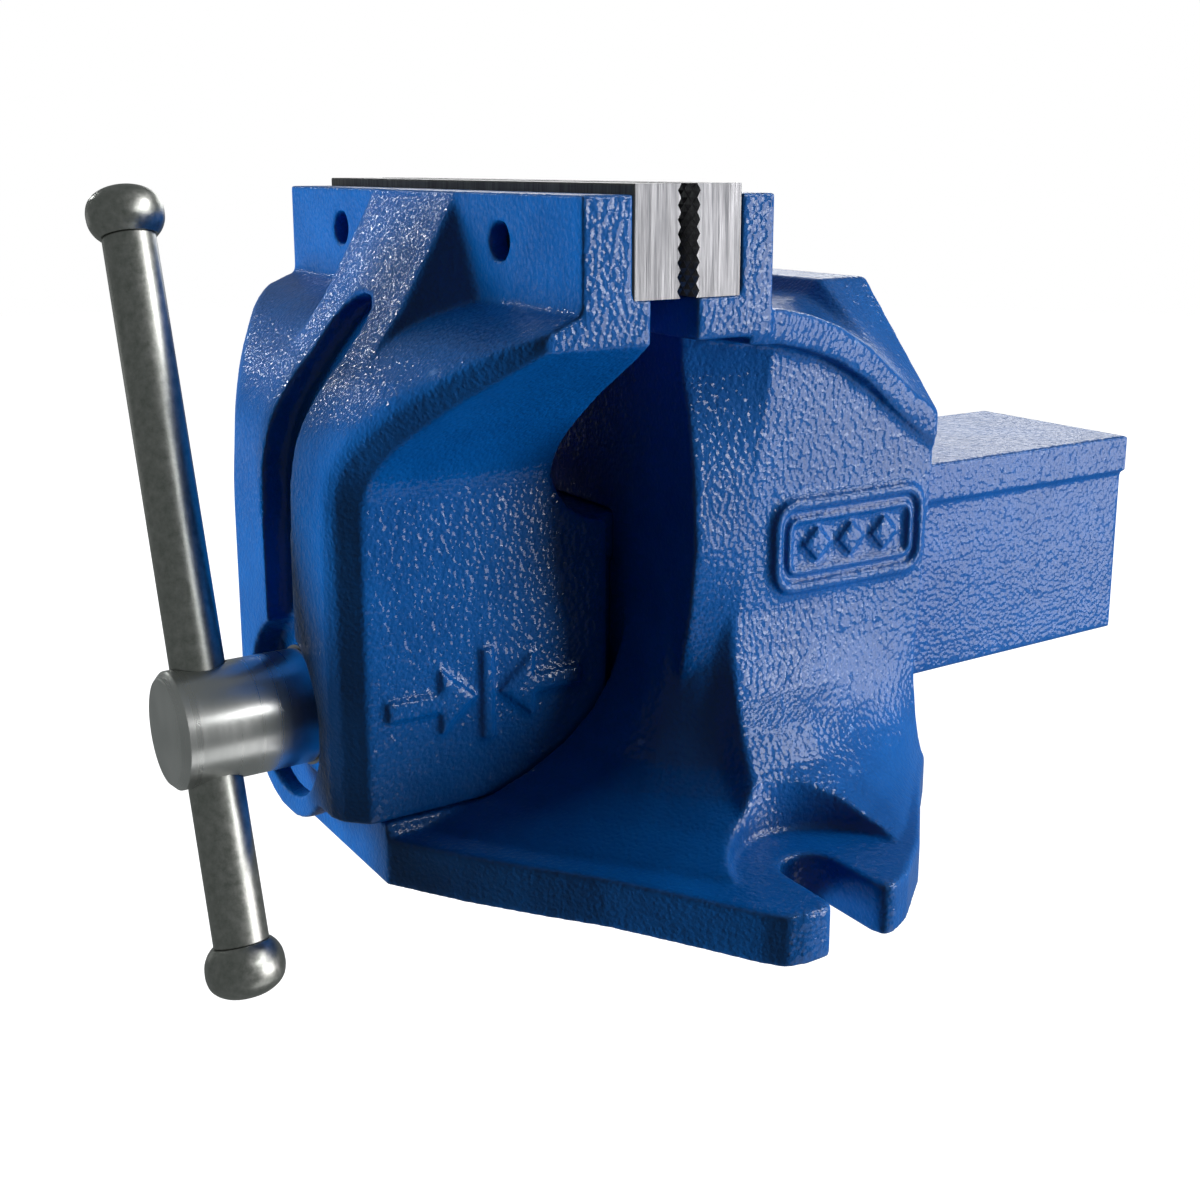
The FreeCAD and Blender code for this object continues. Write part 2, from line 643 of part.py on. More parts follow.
def nut_dowel_spots():
    """Plan positions of the two nut dowels, on a diagonal."""
    middle = NUT_FRONT_Y + NUT_LENGTH / 2
    return [(-DOWEL_X, middle - DOWEL_DY), (DOWEL_X, middle + DOWEL_DY)]


def nut_mounting_cutters():
    """Counterbored screw holes and dowel holes through the body floor."""
    tools = []
    for y in nut_screw_ys():
        tools.append(rod_z(NUT_SCREW_R + NUT_SCREW_CLEARANCE, -OVER, FLOOR_TOP + OVER, 0, y))
        tools.append(rod_z(NUT_COUNTERBORE_R, -OVER, NUT_COUNTERBORE_H, 0, y))
    for x, y in nut_dowel_spots():
        tools.append(rod_z(DOWEL_R, FLOOR_TOP - DOWEL_DEPTH, FLOOR_TOP + OVER, x, y))
    return tools


def fixed_body():
    """Base, guide and rear jaw in one casting."""
    upper = wide_box(JAW_HALF, REAR_SEAT_Y, REAR_BACK_Y, JAW_BOTTOM, JAW_TOP)
    ledge = wide_box(JAW_HALF, REAR_LEDGE_Y, REAR_BACK_Y, JAW_BOTTOM, PLATE_BOTTOM)
    tongue = wide_box(TONGUE_HALF, TONGUE_FACE_Y, BODY_REAR_Y, 0, FLOOR_TOP)
    clear = cut_all(flare(), [bolt_seat(1), bolt_seat(-1)])
    parts = [upper, ledge, front_wall(), trunk(), arch(), foot_plate(), tongue, clear]
    body = fuse_all(parts + badge(1) + badge(-1))
    guide = slide_section(SLIDE_CLEARANCE, BODY_FRONT_Y - OVER, BODY_REAR_Y + OVER, FLOOR_TOP)
    approach = wide_box(APPROACH_HALF, TONGUE_FACE_Y - OVER, BODY_FRONT_Y, FLOOR_TOP, APPROACH_TOP)
    tools = [guide, approach, slot_cutter(1), slot_cutter(-1), core_pocket(1), core_pocket(-1)]
    tools += nut_mounting_cutters()
    tools += plate_screw_holes(REAR_SEAT_Y, REAR_BACK_Y + OVER)
    return cut_all(body, tools)


# --- screw and its fittings ----------------------------------------------------------

def bar_direction():
    """Unit vector along the tommy bar, towards its upper knob."""
    lean = math.radians(BAR_LEAN_DEG)
    return V(math.sin(lean), 0, math.cos(lean))


def thread_profile():
    """Teeth of the thread as (y, r) pairs, drawn as rings."""
    profile = []
    for turn in range(THREAD_TURNS):
        y = THREAD_START_Y + turn * THREAD_PITCH
        profile += [(y, THREAD_CORE_R), (y + THREAD_FLANK * THREAD_PITCH, THREAD_R),
                    (y + THREAD_CREST * THREAD_PITCH, THREAD_R),
                    (y + THREAD_FOOT * THREAD_PITCH, THREAD_CORE_R)]
    return profile


def main_screw():
    """Screw with its cross-drilled head, journal, thread and plain tail."""
    profile = [(HEAD_END_Y, 0), (HEAD_END_Y, HEAD_R - HEAD_CHAMFER), (HEAD_END_Y + HEAD_CHAMFER, HEAD_R),
               (SHOULDER_Y, HEAD_R), (SHOULDER_Y, JOURNAL_R), (THREAD_START_Y - THREAD_RUN_IN, JOURNAL_R),
               (THREAD_START_Y, THREAD_CORE_R)]
    profile += thread_profile()[1:]
    profile += [(TAIL_START_Y, THREAD_CORE_R), (TAIL_START_Y, TAIL_R), (SCREW_END_Y - TAIL_CHAMFER, TAIL_R),
                (SCREW_END_Y, TAIL_R - TAIL_CHAMFER), (SCREW_END_Y, 0)]
    screw = revolve_y(profile)
    tools = [Part.makeCylinder(BAR_HOLE_R, 2 * BAR_HOLE_HALF, along_bar(-BAR_HOLE_HALF), bar_direction())]
    tools += [rod_z(PIN_R, SCREW_Z - PIN_HOLE_HALF, SCREW_Z + PIN_HOLE_HALF, 0, y)
              for y in (COTTER_Y, STOP_PIN_Y)]
    return cut_all(screw, tools)


def spring():
    """Coil spring between the bush and the collar washer, which keeps the screw head seated."""
    reach = SPRING_WIRE_R + SPRING_GAP
    start_y, end_y = BLOCK_WALL_Y + reach, COLLAR_Y - reach
    steps = int(SPRING_TURNS * SPRING_STEPS_PER_TURN)
    sections = []
    for step in range(steps + 1):
        y = start_y + (end_y - start_y) * step / steps
        angle = 2 * math.pi * step / SPRING_STEPS_PER_TURN
        outward = V(math.cos(angle), 0, math.sin(angle))
        centre = V(0, y, SCREW_Z) + outward * (SPRING_R - SPRING_WIRE_R)
        section = []
        for side in range(SPRING_WIRE_SIDES):
            turn = 2 * math.pi * side / SPRING_WIRE_SIDES
            section.append(centre + (outward * math.cos(turn) + Y_AXIS * math.sin(turn)) * SPRING_WIRE_R)
        sections.append(section)
    return loft(sections)


def cross_pin(y, half_length):
    """Pin through the screw, square to its axis."""
    pin = rod_z(PIN_R, SCREW_Z - half_length, SCREW_Z + half_length, 0, y)
    return pin.makeFillet(PIN_ROUND, [edge for edge in pin.Edges if edge.BoundBox.ZLength < FLAT])


def along_bar(distance):
    """Point on the bar axis."""
    return V(0, BAR_Y, SCREW_Z) + bar_direction() * distance


def tommy_bar():
    """Plain bar with a spigot at each end."""
    low, high = -BAR_LOWER + KNOB_H / 2, BAR_UPPER - KNOB_H / 2
    bar = Part.makeCylinder(BAR_R, high - low, along_bar(low), bar_direction())
    spigot_length = high - low + 2 * SPIGOT_H
    spigot = Part.makeCylinder(SPIGOT_R, spigot_length, along_bar(low - SPIGOT_H), bar_direction())
    return bar.fuse(spigot).removeSplitter()


def knob(distance, way):
    """Mushroom knob on a bar end; way points outwards along the bar."""
    outline = [V(r, 0, h) for h, r in KNOB_HR]
    apex, floor, ledge, mouth = outline[-1], V(0, 0, SPIGOT_H), V(SPIGOT_R, 0, SPIGOT_H), V(SPIGOT_R, 0, 0)
    edges = [spline(outline), Part.makeLine(apex, floor), Part.makeLine(floor, ledge),
             Part.makeLine(ledge, mouth), Part.makeLine(mouth, outline[0])]
    body = face_of(edges).revolve(ORIGIN, Z_AXIS, 360)
    turn = FreeCAD.Rotation(Z_AXIS, bar_direction() * way)
    body.Placement = FreeCAD.Placement(along_bar(distance - way * KNOB_H / 2), turn)
    return body


# --- nut and its fasteners ------------------------------------------------------------

def drive_nut():
    """Nut block standing on the body floor inside the slide."""
    y1 = NUT_FRONT_Y + NUT_LENGTH
    block = wide_box(NUT_HALF, NUT_FRONT_Y, y1, FLOOR_TOP, NUT_TOP)
    crown = [edge for edge in block.Edges
             if abs(edge.BoundBox.ZMin - NUT_TOP) < FLAT and edge.BoundBox.YLength > FLAT]
    block = block.makeFillet(NUT_CROWN_R, crown)
    screw_top, dowel_top = FLOOR_TOP + NUT_SCREW_ENTRY, FLOOR_TOP + DOWEL_DEPTH
    tools = [rod_y(NUT_BORE_R, NUT_FRONT_Y - OVER, y1 + OVER)]
    tools += [rod_z(NUT_SCREW_R, FLOOR_TOP - OVER, screw_top, 0, y) for y in nut_screw_ys()]
    tools += [rod_z(DOWEL_R, FLOOR_TOP - OVER, dowel_top, x, y) for x, y in nut_dowel_spots()]
    return cut_all(block, tools)


def nut_screws():
    """Socket screws that hold the nut from below."""
    screws = []
    head_top = NUT_COUNTERBORE_H - NUT_WASHER_T
    for y in nut_screw_ys():
        head = rod_z(NUT_SCREW_HEAD_R, head_top - NUT_SCREW_HEAD_H, head_top, 0, y)
        shank = rod_z(NUT_SCREW_R, head_top, FLOOR_TOP + NUT_SCREW_ENTRY - NUT_SCREW_END_GAP, 0, y)
        socket = rod_z(HEX_SOCKET_R, head_top - NUT_SCREW_HEAD_H, head_top - NUT_SCREW_HEAD_H / 2, 0, y)
        screws.append(head.fuse(shank).removeSplitter().cut(socket))
    return Part.makeCompound(screws)


def nut_washers():
    """Washers under the nut screw heads."""
    rings = []
    top = NUT_COUNTERBORE_H
    for y in nut_screw_ys():
        disc = rod_z(NUT_COUNTERBORE_R - NUT_WASHER_RIM_GAP, top - NUT_WASHER_T, top, 0, y)
        rings.append(disc.cut(rod_z(NUT_SCREW_R + NUT_WASHER_BORE_GAP, top - NUT_WASHER_T, top, 0, y)))
    return Part.makeCompound(rings)


def nut_dowels():
    """Dowels between floor and nut."""
    return Part.makeCompound([rod_z(DOWEL_R, FLOOR_TOP - DOWEL_DEPTH, FLOOR_TOP + DOWEL_DEPTH, x, y)
                              for x, y in nut_dowel_spots()])


PARTS = {
    "fixed_body": fixed_body,
    "rear_jaw_plate": lambda: jaw_plate(REAR_GRIP_Y, 1),
    "rear_plate_screws": lambda: plate_screws(REAR_GRIP_Y, 1),
    "drive_nut": drive_nut,
    "nut_screws": nut_screws,
    "nut_washers": nut_washers,
    "nut_dowels": nut_dowels,
    "moving_jaw": moving_jaw,
    "front_jaw_plate": lambda: jaw_plate(FRONT_GRIP_Y, -1),
    "front_plate_screws": lambda: plate_screws(FRONT_GRIP_Y, -1),
    "screw_bush": lambda: annulus_y(BUSH_R, JOURNAL_R + JOURNAL_CLEARANCE, BOSS_RECESS_Y,
                                    BLOCK_WALL_Y - BOSS_RECESS_Y),
    "thrust_washer": lambda: annulus_y(THRUST_WASHER_R, JOURNAL_R + JOURNAL_CLEARANCE,
                                       BOSS_RECESS_Y - THRUST_WASHER_T, THRUST_WASHER_T),
    "screw_spring": spring,
    "main_screw": main_screw,
    "collar_washer": lambda: annulus_y(COLLAR_R, JOURNAL_R, COLLAR_Y, COLLAR_T),
    "collar_pin": lambda: cross_pin(COTTER_Y, COLLAR_PIN_HALF),
    "stop_washer": lambda: annulus_y(STOP_WASHER_R, TAIL_R, STOP_WASHER_Y, STOP_WASHER_T),
    "stop_pin": lambda: cross_pin(STOP_PIN_Y, STOP_PIN_HALF),
    "tommy_bar": tommy_bar,
    "upper_knob": lambda: knob(BAR_UPPER, 1),
    "lower_knob": lambda: knob(-BAR_LOWER, -1),
}

os.makedirs("parts", exist_ok=True)
for name, make in PARTS.items():
    shape = make()
    shape.exportStep("parts/" + name + ".step")
    print(name, shape.ShapeType, shape.isValid(), round(shape.Volume), len(shape.Solids))
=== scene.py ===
import json
import math

import bmesh
import bpy
import numpy as np
from mathutils import Matrix, Vector


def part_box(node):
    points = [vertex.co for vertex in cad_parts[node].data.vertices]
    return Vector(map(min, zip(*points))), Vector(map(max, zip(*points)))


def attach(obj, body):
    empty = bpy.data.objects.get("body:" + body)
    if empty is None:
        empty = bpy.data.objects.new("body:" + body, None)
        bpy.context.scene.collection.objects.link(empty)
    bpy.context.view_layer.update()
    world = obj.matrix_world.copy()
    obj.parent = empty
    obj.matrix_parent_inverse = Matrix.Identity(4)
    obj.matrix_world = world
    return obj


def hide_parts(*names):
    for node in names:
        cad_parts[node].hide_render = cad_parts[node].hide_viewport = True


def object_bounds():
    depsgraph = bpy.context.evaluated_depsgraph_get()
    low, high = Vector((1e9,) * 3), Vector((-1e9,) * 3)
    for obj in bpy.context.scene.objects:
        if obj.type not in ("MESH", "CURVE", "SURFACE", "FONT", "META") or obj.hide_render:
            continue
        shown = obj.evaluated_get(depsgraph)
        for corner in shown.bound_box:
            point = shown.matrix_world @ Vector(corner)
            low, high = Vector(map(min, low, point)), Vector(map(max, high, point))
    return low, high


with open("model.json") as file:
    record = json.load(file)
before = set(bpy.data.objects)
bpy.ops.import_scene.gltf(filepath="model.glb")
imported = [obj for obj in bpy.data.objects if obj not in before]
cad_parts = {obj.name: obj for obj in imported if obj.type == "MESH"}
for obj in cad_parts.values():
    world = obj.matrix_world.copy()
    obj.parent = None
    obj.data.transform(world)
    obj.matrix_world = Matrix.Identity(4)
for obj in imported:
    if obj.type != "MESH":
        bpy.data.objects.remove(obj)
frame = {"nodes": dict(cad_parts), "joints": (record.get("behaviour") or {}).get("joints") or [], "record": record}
cad_low, cad_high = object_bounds()
NODES = frame["nodes"]
SLOTS = {part["node"]: part["material_slot"] for part in frame["record"]["subparts"]}
MM = 0.001

# --- castings: remeshing and smoothing -----------------------------------------------
VOXEL = 0.5 * MM             # grid that the castings are remeshed on
MAX_CAST_FACES = 190000
SETTLE_ROUNDS = 2            # passes that take the grid's steps away
SETTLE_STEP = 0.5
CORNER_BEND = 0.12 * VOXEL   # inward bend that marks an inside corner
CORNER_SPREAD = 10           # rings of vertices around a corner that its fillet may move
CORNER_GAIN = 3.0
FILLET_ROUNDS = 36           # passes that fill the inside corners of the castings
FILLET_STEP = 0.5
NORMALS_EVERY = 6            # fillet passes between two updates of the normals
CAST_ROUNDS = 4              # smoothing passes that round every cast edge
CRISP_STEP = 0.35            # how far each of them goes inside the crisp zones
CAST_EXTRA = 0.25            # how much further it goes outside them

# --- crisp zones: where fillets would reach a fitted or passing piece, or drown a mark --------
PLATE_MARGIN = 2.5 * MM
GUIDE_HALF_X = 24 * MM       # the slide and the guide it runs on
GUIDE_BEFORE_NUT = 8 * MM
GUIDE_BELOW_NUT = 12 * MM
GUIDE_END_Y = 200 * MM
GUIDE_TOP_Z = 62 * MM
GATE_Z = (6 * MM, 18 * MM)   # where the castings pass closest when the jaw is shut
CHEEK_X = 26 * MM
CHEEK_HALF_X = 5 * MM
CHEEK_Y = (-11 * MM, 2 * MM)
TOE_HALF_X = 12 * MM
TOE_Y = (-60 * MM, -48 * MM)
BADGE_X = 49 * MM
BADGE_HALF_X = 2 * MM
BADGE_Y = (9 * MM, 50 * MM)
BADGE_Z = (44 * MM, 66 * MM)
MARK_X = 27.5 * MM
MARK_HALF_X = 1.5 * MM
MARK_Y = (-56 * MM, -12 * MM)
MARK_Z = (21 * MM, 41 * MM)

# --- jaw plates and their screws -----------------------------------------------------
TOOTH_PITCH = 2.2 * MM
TOOTH_DEPTH = 0.6 * MM
PLATE_EDGE = 0.25 * MM
PLATE_SCREW_X = 32.0 * MM
PLATE_SCREW_HOLE_R = 3.2 * MM
PLATE_SCREW_HEAD_R = 5.8 * MM
PLATE_SCREW_SINK = 1.0 * MM
PLATE_SCREW_CONE = 3.0 * MM
PLATE_SCREW_TAPER = 0.93     # fall of the head's radius along the cone
PLATE_SCREW_LAND = 0.3 * MM
PLATE_SCREW_TIP = 0.6 * MM
PLATE_SCREW_ROUND = 0.2 * MM
SOCKET_R = 2.4 * MM
SOCKET_DEPTH = 2.3 * MM
TOOL_OVER = 1.0 * MM         # how far a cutting tool starts outside the piece

# --- main screw, bar and knobs -------------------------------------------------------
HEAD_CHAMFER = 1.2 * MM
HEAD_ROUND = 0.18 * MM
WASHER_GAP = 0.15 * MM
JOURNAL_R = 8.0 * MM
JOURNAL_END_Y = -26.5 * MM
JOURNAL_CHAMFER = 0.8 * MM
THREAD_CORE_R = 5.9 * MM
THREAD_PITCH = 4.0 * MM
THREAD_END_Y = 130.5 * MM
THREAD_OVERLAP = 1.0 * MM    # how far the thread starts inside the journal
THREAD_SEGMENTS = 48
# share of the pitch and share of the thread's depth, over one turn
THREAD_SECTION = [(0.0, 0.0), (0.27, 1.0), (0.33, 1.0), (0.54, 1.0), (0.60, 1.0), (0.87, 0.0)]
TAIL_R = 5.5 * MM
TAIL_OVERLAP = 2.0 * MM      # how far the tail starts inside the thread
TAIL_CHAMFER = 1.0 * MM
TAIL_ROUND = 0.15 * MM
DRILL_REACH = 20.0 * MM
PIN_R = 1.5 * MM
BAR_R = 4.8 * MM
BAR_HOLE_R = 5.1 * MM
BAR_ROUND = 0.25 * MM
SPIGOT_R = 3.5 * MM          # turned-down ends of the bar, inside the knobs
SPIGOT_LENGTH = 5.0 * MM
# distance from the bar's side and radius, in millimetres
KNOB_OUTLINE = [(0.0, 5.2), (0.9, 6.0), (2.2, 6.65), (3.6, 6.9), (5.2, 6.85), (6.8, 6.3), (8.1, 5.0),
                (9.0, 3.0), (9.4, 0.0)]

# --- stage -------------------------------------------------------------------------
CAMERA_AT = Vector((0.24636, -0.15186, 0.12144))
CAMERA_AZIMUTH = math.radians(57.15)
CAMERA_DIP = math.radians(11.94)
CAMERA_LENS = 44.80
CAMERA_CLIP = (0.01, 20.0)
SENSOR = 36.0
CAMERA_SHIFT = -0.1
FLOOR_Z = -0.135
FLOOR_R = 2.5
NEUTRAL = (1, 1, 1)
COOL = (0.9, 0.97, 1.0)
ROSE = (1.0, 0.96, 0.98)
FAINT_ROSE = (1.0, 0.98, 0.99)
# name, bearing from +X towards +Y and height in degrees, distance and size in metres, watts, colour,
# and what it lights: the body colour, the gloss or both
LIGHTS = (
    ("left_key", 222, 5, 1.1, (0.45, 0.4), 11.5, NEUTRAL, "body"),
    ("left_fill", 230, -25, 1.1, (0.5, 0.4), 10.0, NEUTRAL, "body"),
    ("top_fill", 84, 54, 1.1, (0.5, 0.5), 6.0, NEUTRAL, "body"),
    ("low_fill", 46, -14, 1.0, (0.5, 0.4), 4.5, COOL, "body"),
    ("right_box", 48, -3, 1.1, (0.58, 0.60), 7.8, ROSE, "both"),
    ("beam_box", 36, 4, 1.1, (0.25, 0.20), 1.8, NEUTRAL, "gloss"),
    ("flare_box", 56, 35, 1.1, (0.42, 0.42), 5.8, FAINT_ROSE, "gloss"),
    ("band_box", 28, 25, 1.1, (0.55, 0.15), 3.2, NEUTRAL, "gloss"),
    ("low_band", 30, -44, 1.0, (0.9, 0.5), 1.3, NEUTRAL, "gloss"),
    ("high_right", 84, 54, 1.1, (0.7, 0.5), 1.3, NEUTRAL, "gloss"),
    ("back_box", 139, 15, 1.2, (0.9, 0.40), 3.3, NEUTRAL, "both"),
    ("front_card", 206, -3, 1.2, (0.25, 0.25), 0.09, NEUTRAL, "gloss"),
    ("left_glint", 200, 22, 1.2, (0.075, 0.075), 0.55, NEUTRAL, "gloss"),
)
# strength and colour of the world for each kind of ray
WORLD_BODY = (0.035, (1.0, 0.95, 0.9))
WORLD_GLOSS = (0.19, (0.93, 1.0, 0.99))
WORLD_CAMERA = (1.0, (1, 1, 1))


def box_size(node):
    """Lowest corner, highest corner and middle of a CAD node."""
    low, high = (Vector(corner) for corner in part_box(node))
    return low, high, (low + high) / 2


def joint_named(name):
    """The record's joint of that name."""
    return next(joint for joint in frame["joints"] if joint["name"] == name)


SCREW_LOW, SCREW_HIGH, SCREW_MID = box_size("main_screw")
SCREW_AXIS_Z = SCREW_MID.z
BAR_DIRECTION = Vector(joint_named("bar_slide")["axis"]).normalized()
BAR_MID_Y = box_size("tommy_bar")[2].y


# --- mesh helpers ------------------------------------------------------------------

def new_object(name, mesh):
    """Object in the scene holding the mesh."""
    made = bpy.data.objects.new(name, mesh)
    bpy.context.scene.collection.objects.link(made)
    return made


def object_from_bmesh(name, bm):
    """Object from a bmesh, normals outwards."""
    bmesh.ops.recalc_face_normals(bm, faces=bm.faces)
    mesh = bpy.data.meshes.new(name)
    bm.to_mesh(mesh)
    bm.free()
    return new_object(name, mesh)


def baked(obj):
    """Replace the object's mesh with its evaluated one and drop the modifiers."""
    graph = bpy.context.evaluated_depsgraph_get()
    graph.update()
    mesh = bpy.data.meshes.new_from_object(obj.evaluated_get(graph))
    obj.modifiers.clear()
    obj.data = mesh
    return obj


def shade(obj, sharp_deg=38.0):
    """Smooth shading that keeps edges sharper than the angle."""
    obj.data.shade_smooth()
    obj.data.set_sharp_from_angle(angle=math.radians(sharp_deg))
    return obj


def axis_matrix(origin, direction):
    """Transform that takes +Z to the direction and the origin to the point."""
    turn = Vector((0, 0, 1)).rotation_difference(Vector(direction))
    return Matrix.Translation(Vector(origin)) @ turn.to_matrix().to_4x4()


def rounded_profile(points, radius, steps=4):
    """(along, radius) points with every inner corner replaced by a small arc."""
    out = [points[0]]
    for before, corner, after in zip(points[:-2], points[1:-1], points[2:]):
        corner = Vector(corner)
        back, ahead = Vector(before) - corner, Vector(after) - corner
        reach = min(radius, back.length * 0.45, ahead.length * 0.45)
        start, end = corner + back.normalized() * reach, corner + ahead.normalized() * reach
        for step in range(steps + 1):
            t = step / steps
            out.append(tuple(start * (1 - t) ** 2 + corner * 2 * t * (1 - t) + end * t ** 2))
    return out + [points[-1]]


def lathe_bmesh(profile, origin, direction, segments=96):
    """Closed solid of revolution from (along, radius) pairs that end on the axis or make a ring."""
    bm = bmesh.new()
    rings = []
    for along, radius in profile:
        if radius < 1e-7:
            rings.append([bm.verts.new((0, 0, along))])
            continue
        ring = []
        for step in range(segments):
            angle = 2 * math.pi * step / segments
            ring.append(bm.verts.new((radius * math.cos(angle), radius * math.sin(angle), along)))
        rings.append(ring)
    closed = rings if len(rings[0]) == 1 else rings + [rings[0]]
    for low, high in zip(closed[:-1], closed[1:]):
        for step in range(segments):
            after = (step + 1) % segments
            if len(low) == 1 and len(high) == 1:
                continue
            if len(low) == 1:
                bm.faces.new((low[0], high[after], high[step]))
            elif len(high) == 1:
                bm.faces.new((low[step], low[after], high[0]))
            else:
                bm.faces.new((low[step], low[after], high[after], high[step]))
    bmesh.ops.transform(bm, matrix=axis_matrix(origin, direction), verts=bm.verts)
    return bm


def lathe(name, profile, origin, direction, segments=96):
    """Solid of revolution as an object."""
    return shade(object_from_bmesh(name, lathe_bmesh(profile, origin, direction, segments)))


def cut_away(target, tools):
    """Boolean difference with each tool, which is then removed."""
    for tool in tools:
        cut = target.modifiers.new("cut", "BOOLEAN")
        cut.operation, cut.solver, cut.object = "DIFFERENCE", "EXACT", tool
    baked(target)
    for tool in tools:
        bpy.data.objects.remove(tool)
    return target


def merge(target, others):
    """Add the other objects' meshes to the target's."""
    bm = bmesh.new()
    for obj in [target] + others:
        bm.from_mesh(obj.data)
    bm.to_mesh(target.data)
    bm.free()
    for obj in others:
        bpy.data.objects.remove(obj)
    return target


# --- castings --------------------------------------------------------------------

class Surface:
    """Vertices of a mesh as arrays, for smoothing without changing its topology."""

    def __init__(self, mesh):
        self.mesh = mesh
        self.co = np.empty(len(mesh.vertices) * 3)
        mesh.vertices.foreach_get("co", self.co)
        self.co = self.co.reshape(-1, 3)
        self.edges = np.empty(len(mesh.edges) * 2, dtype=np.int32)
        mesh.edges.foreach_get("vertices", self.edges)
        self.edges = self.edges.reshape(-1, 2)
        count = len(self.co)
        self.degree = np.bincount(self.edges.ravel(), minlength=count).clip(1)

    def neighbour_mean(self, values):
        """Mean of a per-vertex array over each vertex's neighbours."""
        first, second = self.edges[:, 0], self.edges[:, 1]
        count = len(values)
        total = np.bincount(first, values[second], count) + np.bincount(second, values[first], count)
        return total / self.degree

    def laplacian(self):
        """Vector from each vertex to the mean of its neighbours."""
        return np.stack([self.neighbour_mean(self.co[:, k]) for k in range(3)], axis=1) - self.co

    def store(self):
        """Write the vertices back to the mesh."""
        self.mesh.vertices.foreach_set("co", self.co.ravel())
        self.mesh.update()

    def normals(self):
        """Vertex normals of the present shape."""
        self.store()
        values = np.empty(len(self.co) * 3)
        self.mesh.vertex_normals.foreach_get("vector", values)
        return values.reshape(-1, 3)


def outside_zones(co, zones):
    """1 for points outside every (low, high) box, 0 inside."""
    keep = np.ones(len(co))
    for low, high in zones:
        inside = np.all((co > np.array(low)) & (co < np.array(high)), axis=1)
        keep[inside] = 0.0
    return keep


def soften(mesh, crisp_zones):
    """Fill inside corners into fillets, then round every edge as a casting's."""
    surface = Surface(mesh)
    for _ in range(SETTLE_ROUNDS):
        surface.co += SETTLE_STEP * surface.laplacian()
    allowed = outside_zones(surface.co, crisp_zones)
    bend = np.einsum("ij,ij->i", surface.laplacian(), surface.normals())
    near = (bend > CORNER_BEND).astype(float)
    for _ in range(CORNER_SPREAD):
        near = np.maximum(near, surface.neighbour_mean(near))
    near = np.clip(near * CORNER_GAIN, 0.0, 1.0) * allowed
    for done in range(FILLET_ROUNDS):
        if done % NORMALS_EVERY == 0:
            normals = surface.normals()
        pull = np.einsum("ij,ij->i", surface.laplacian(), normals)
        surface.co += (FILLET_STEP * near * pull.clip(0.0))[:, None] * normals
    for _ in range(CAST_ROUNDS):
        weight = CRISP_STEP + CAST_EXTRA * allowed
        surface.co += weight[:, None] * surface.laplacian()
    surface.store()


def casting(node, name, crisp_zones):
    """Cast version of a CAD node: same shape, rounded edges and filled inside corners."""
    source = NODES[node]
    made = new_object(name, source.data.copy())
    remesh = made.modifiers.new("remesh", "REMESH")
    remesh.mode, remesh.voxel_size, remesh.adaptivity = "VOXEL", VOXEL, 0.0
    baked(made)
    soften(made.data, crisp_zones)
    thin = made.modifiers.new("thin", "DECIMATE")
    thin.ratio = min(1.0, MAX_CAST_FACES / (2 * len(made.data.polygons)))
    baked(made)
    made.data.shade_smooth()
    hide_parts(node)
    return made


def grown(low, high, by):
    """Box made larger on every side."""
    return tuple(v - by for v in low), tuple(v + by for v in high)


def zone(middle_x, half_x, span_y, span_z):
    """Box as (low, high) corners."""
    return (middle_x - half_x, span_y[0], span_z[0]), (middle_x + half_x, span_y[1], span_z[1])


def both_sides(middle_x, half_x, span_y, span_z):
    """The same box left and right of the middle."""
    return [zone(side * middle_x, half_x, span_y, span_z) for side in (-1, 1)]


# --- jaw plates ----------------------------------------------------------------------

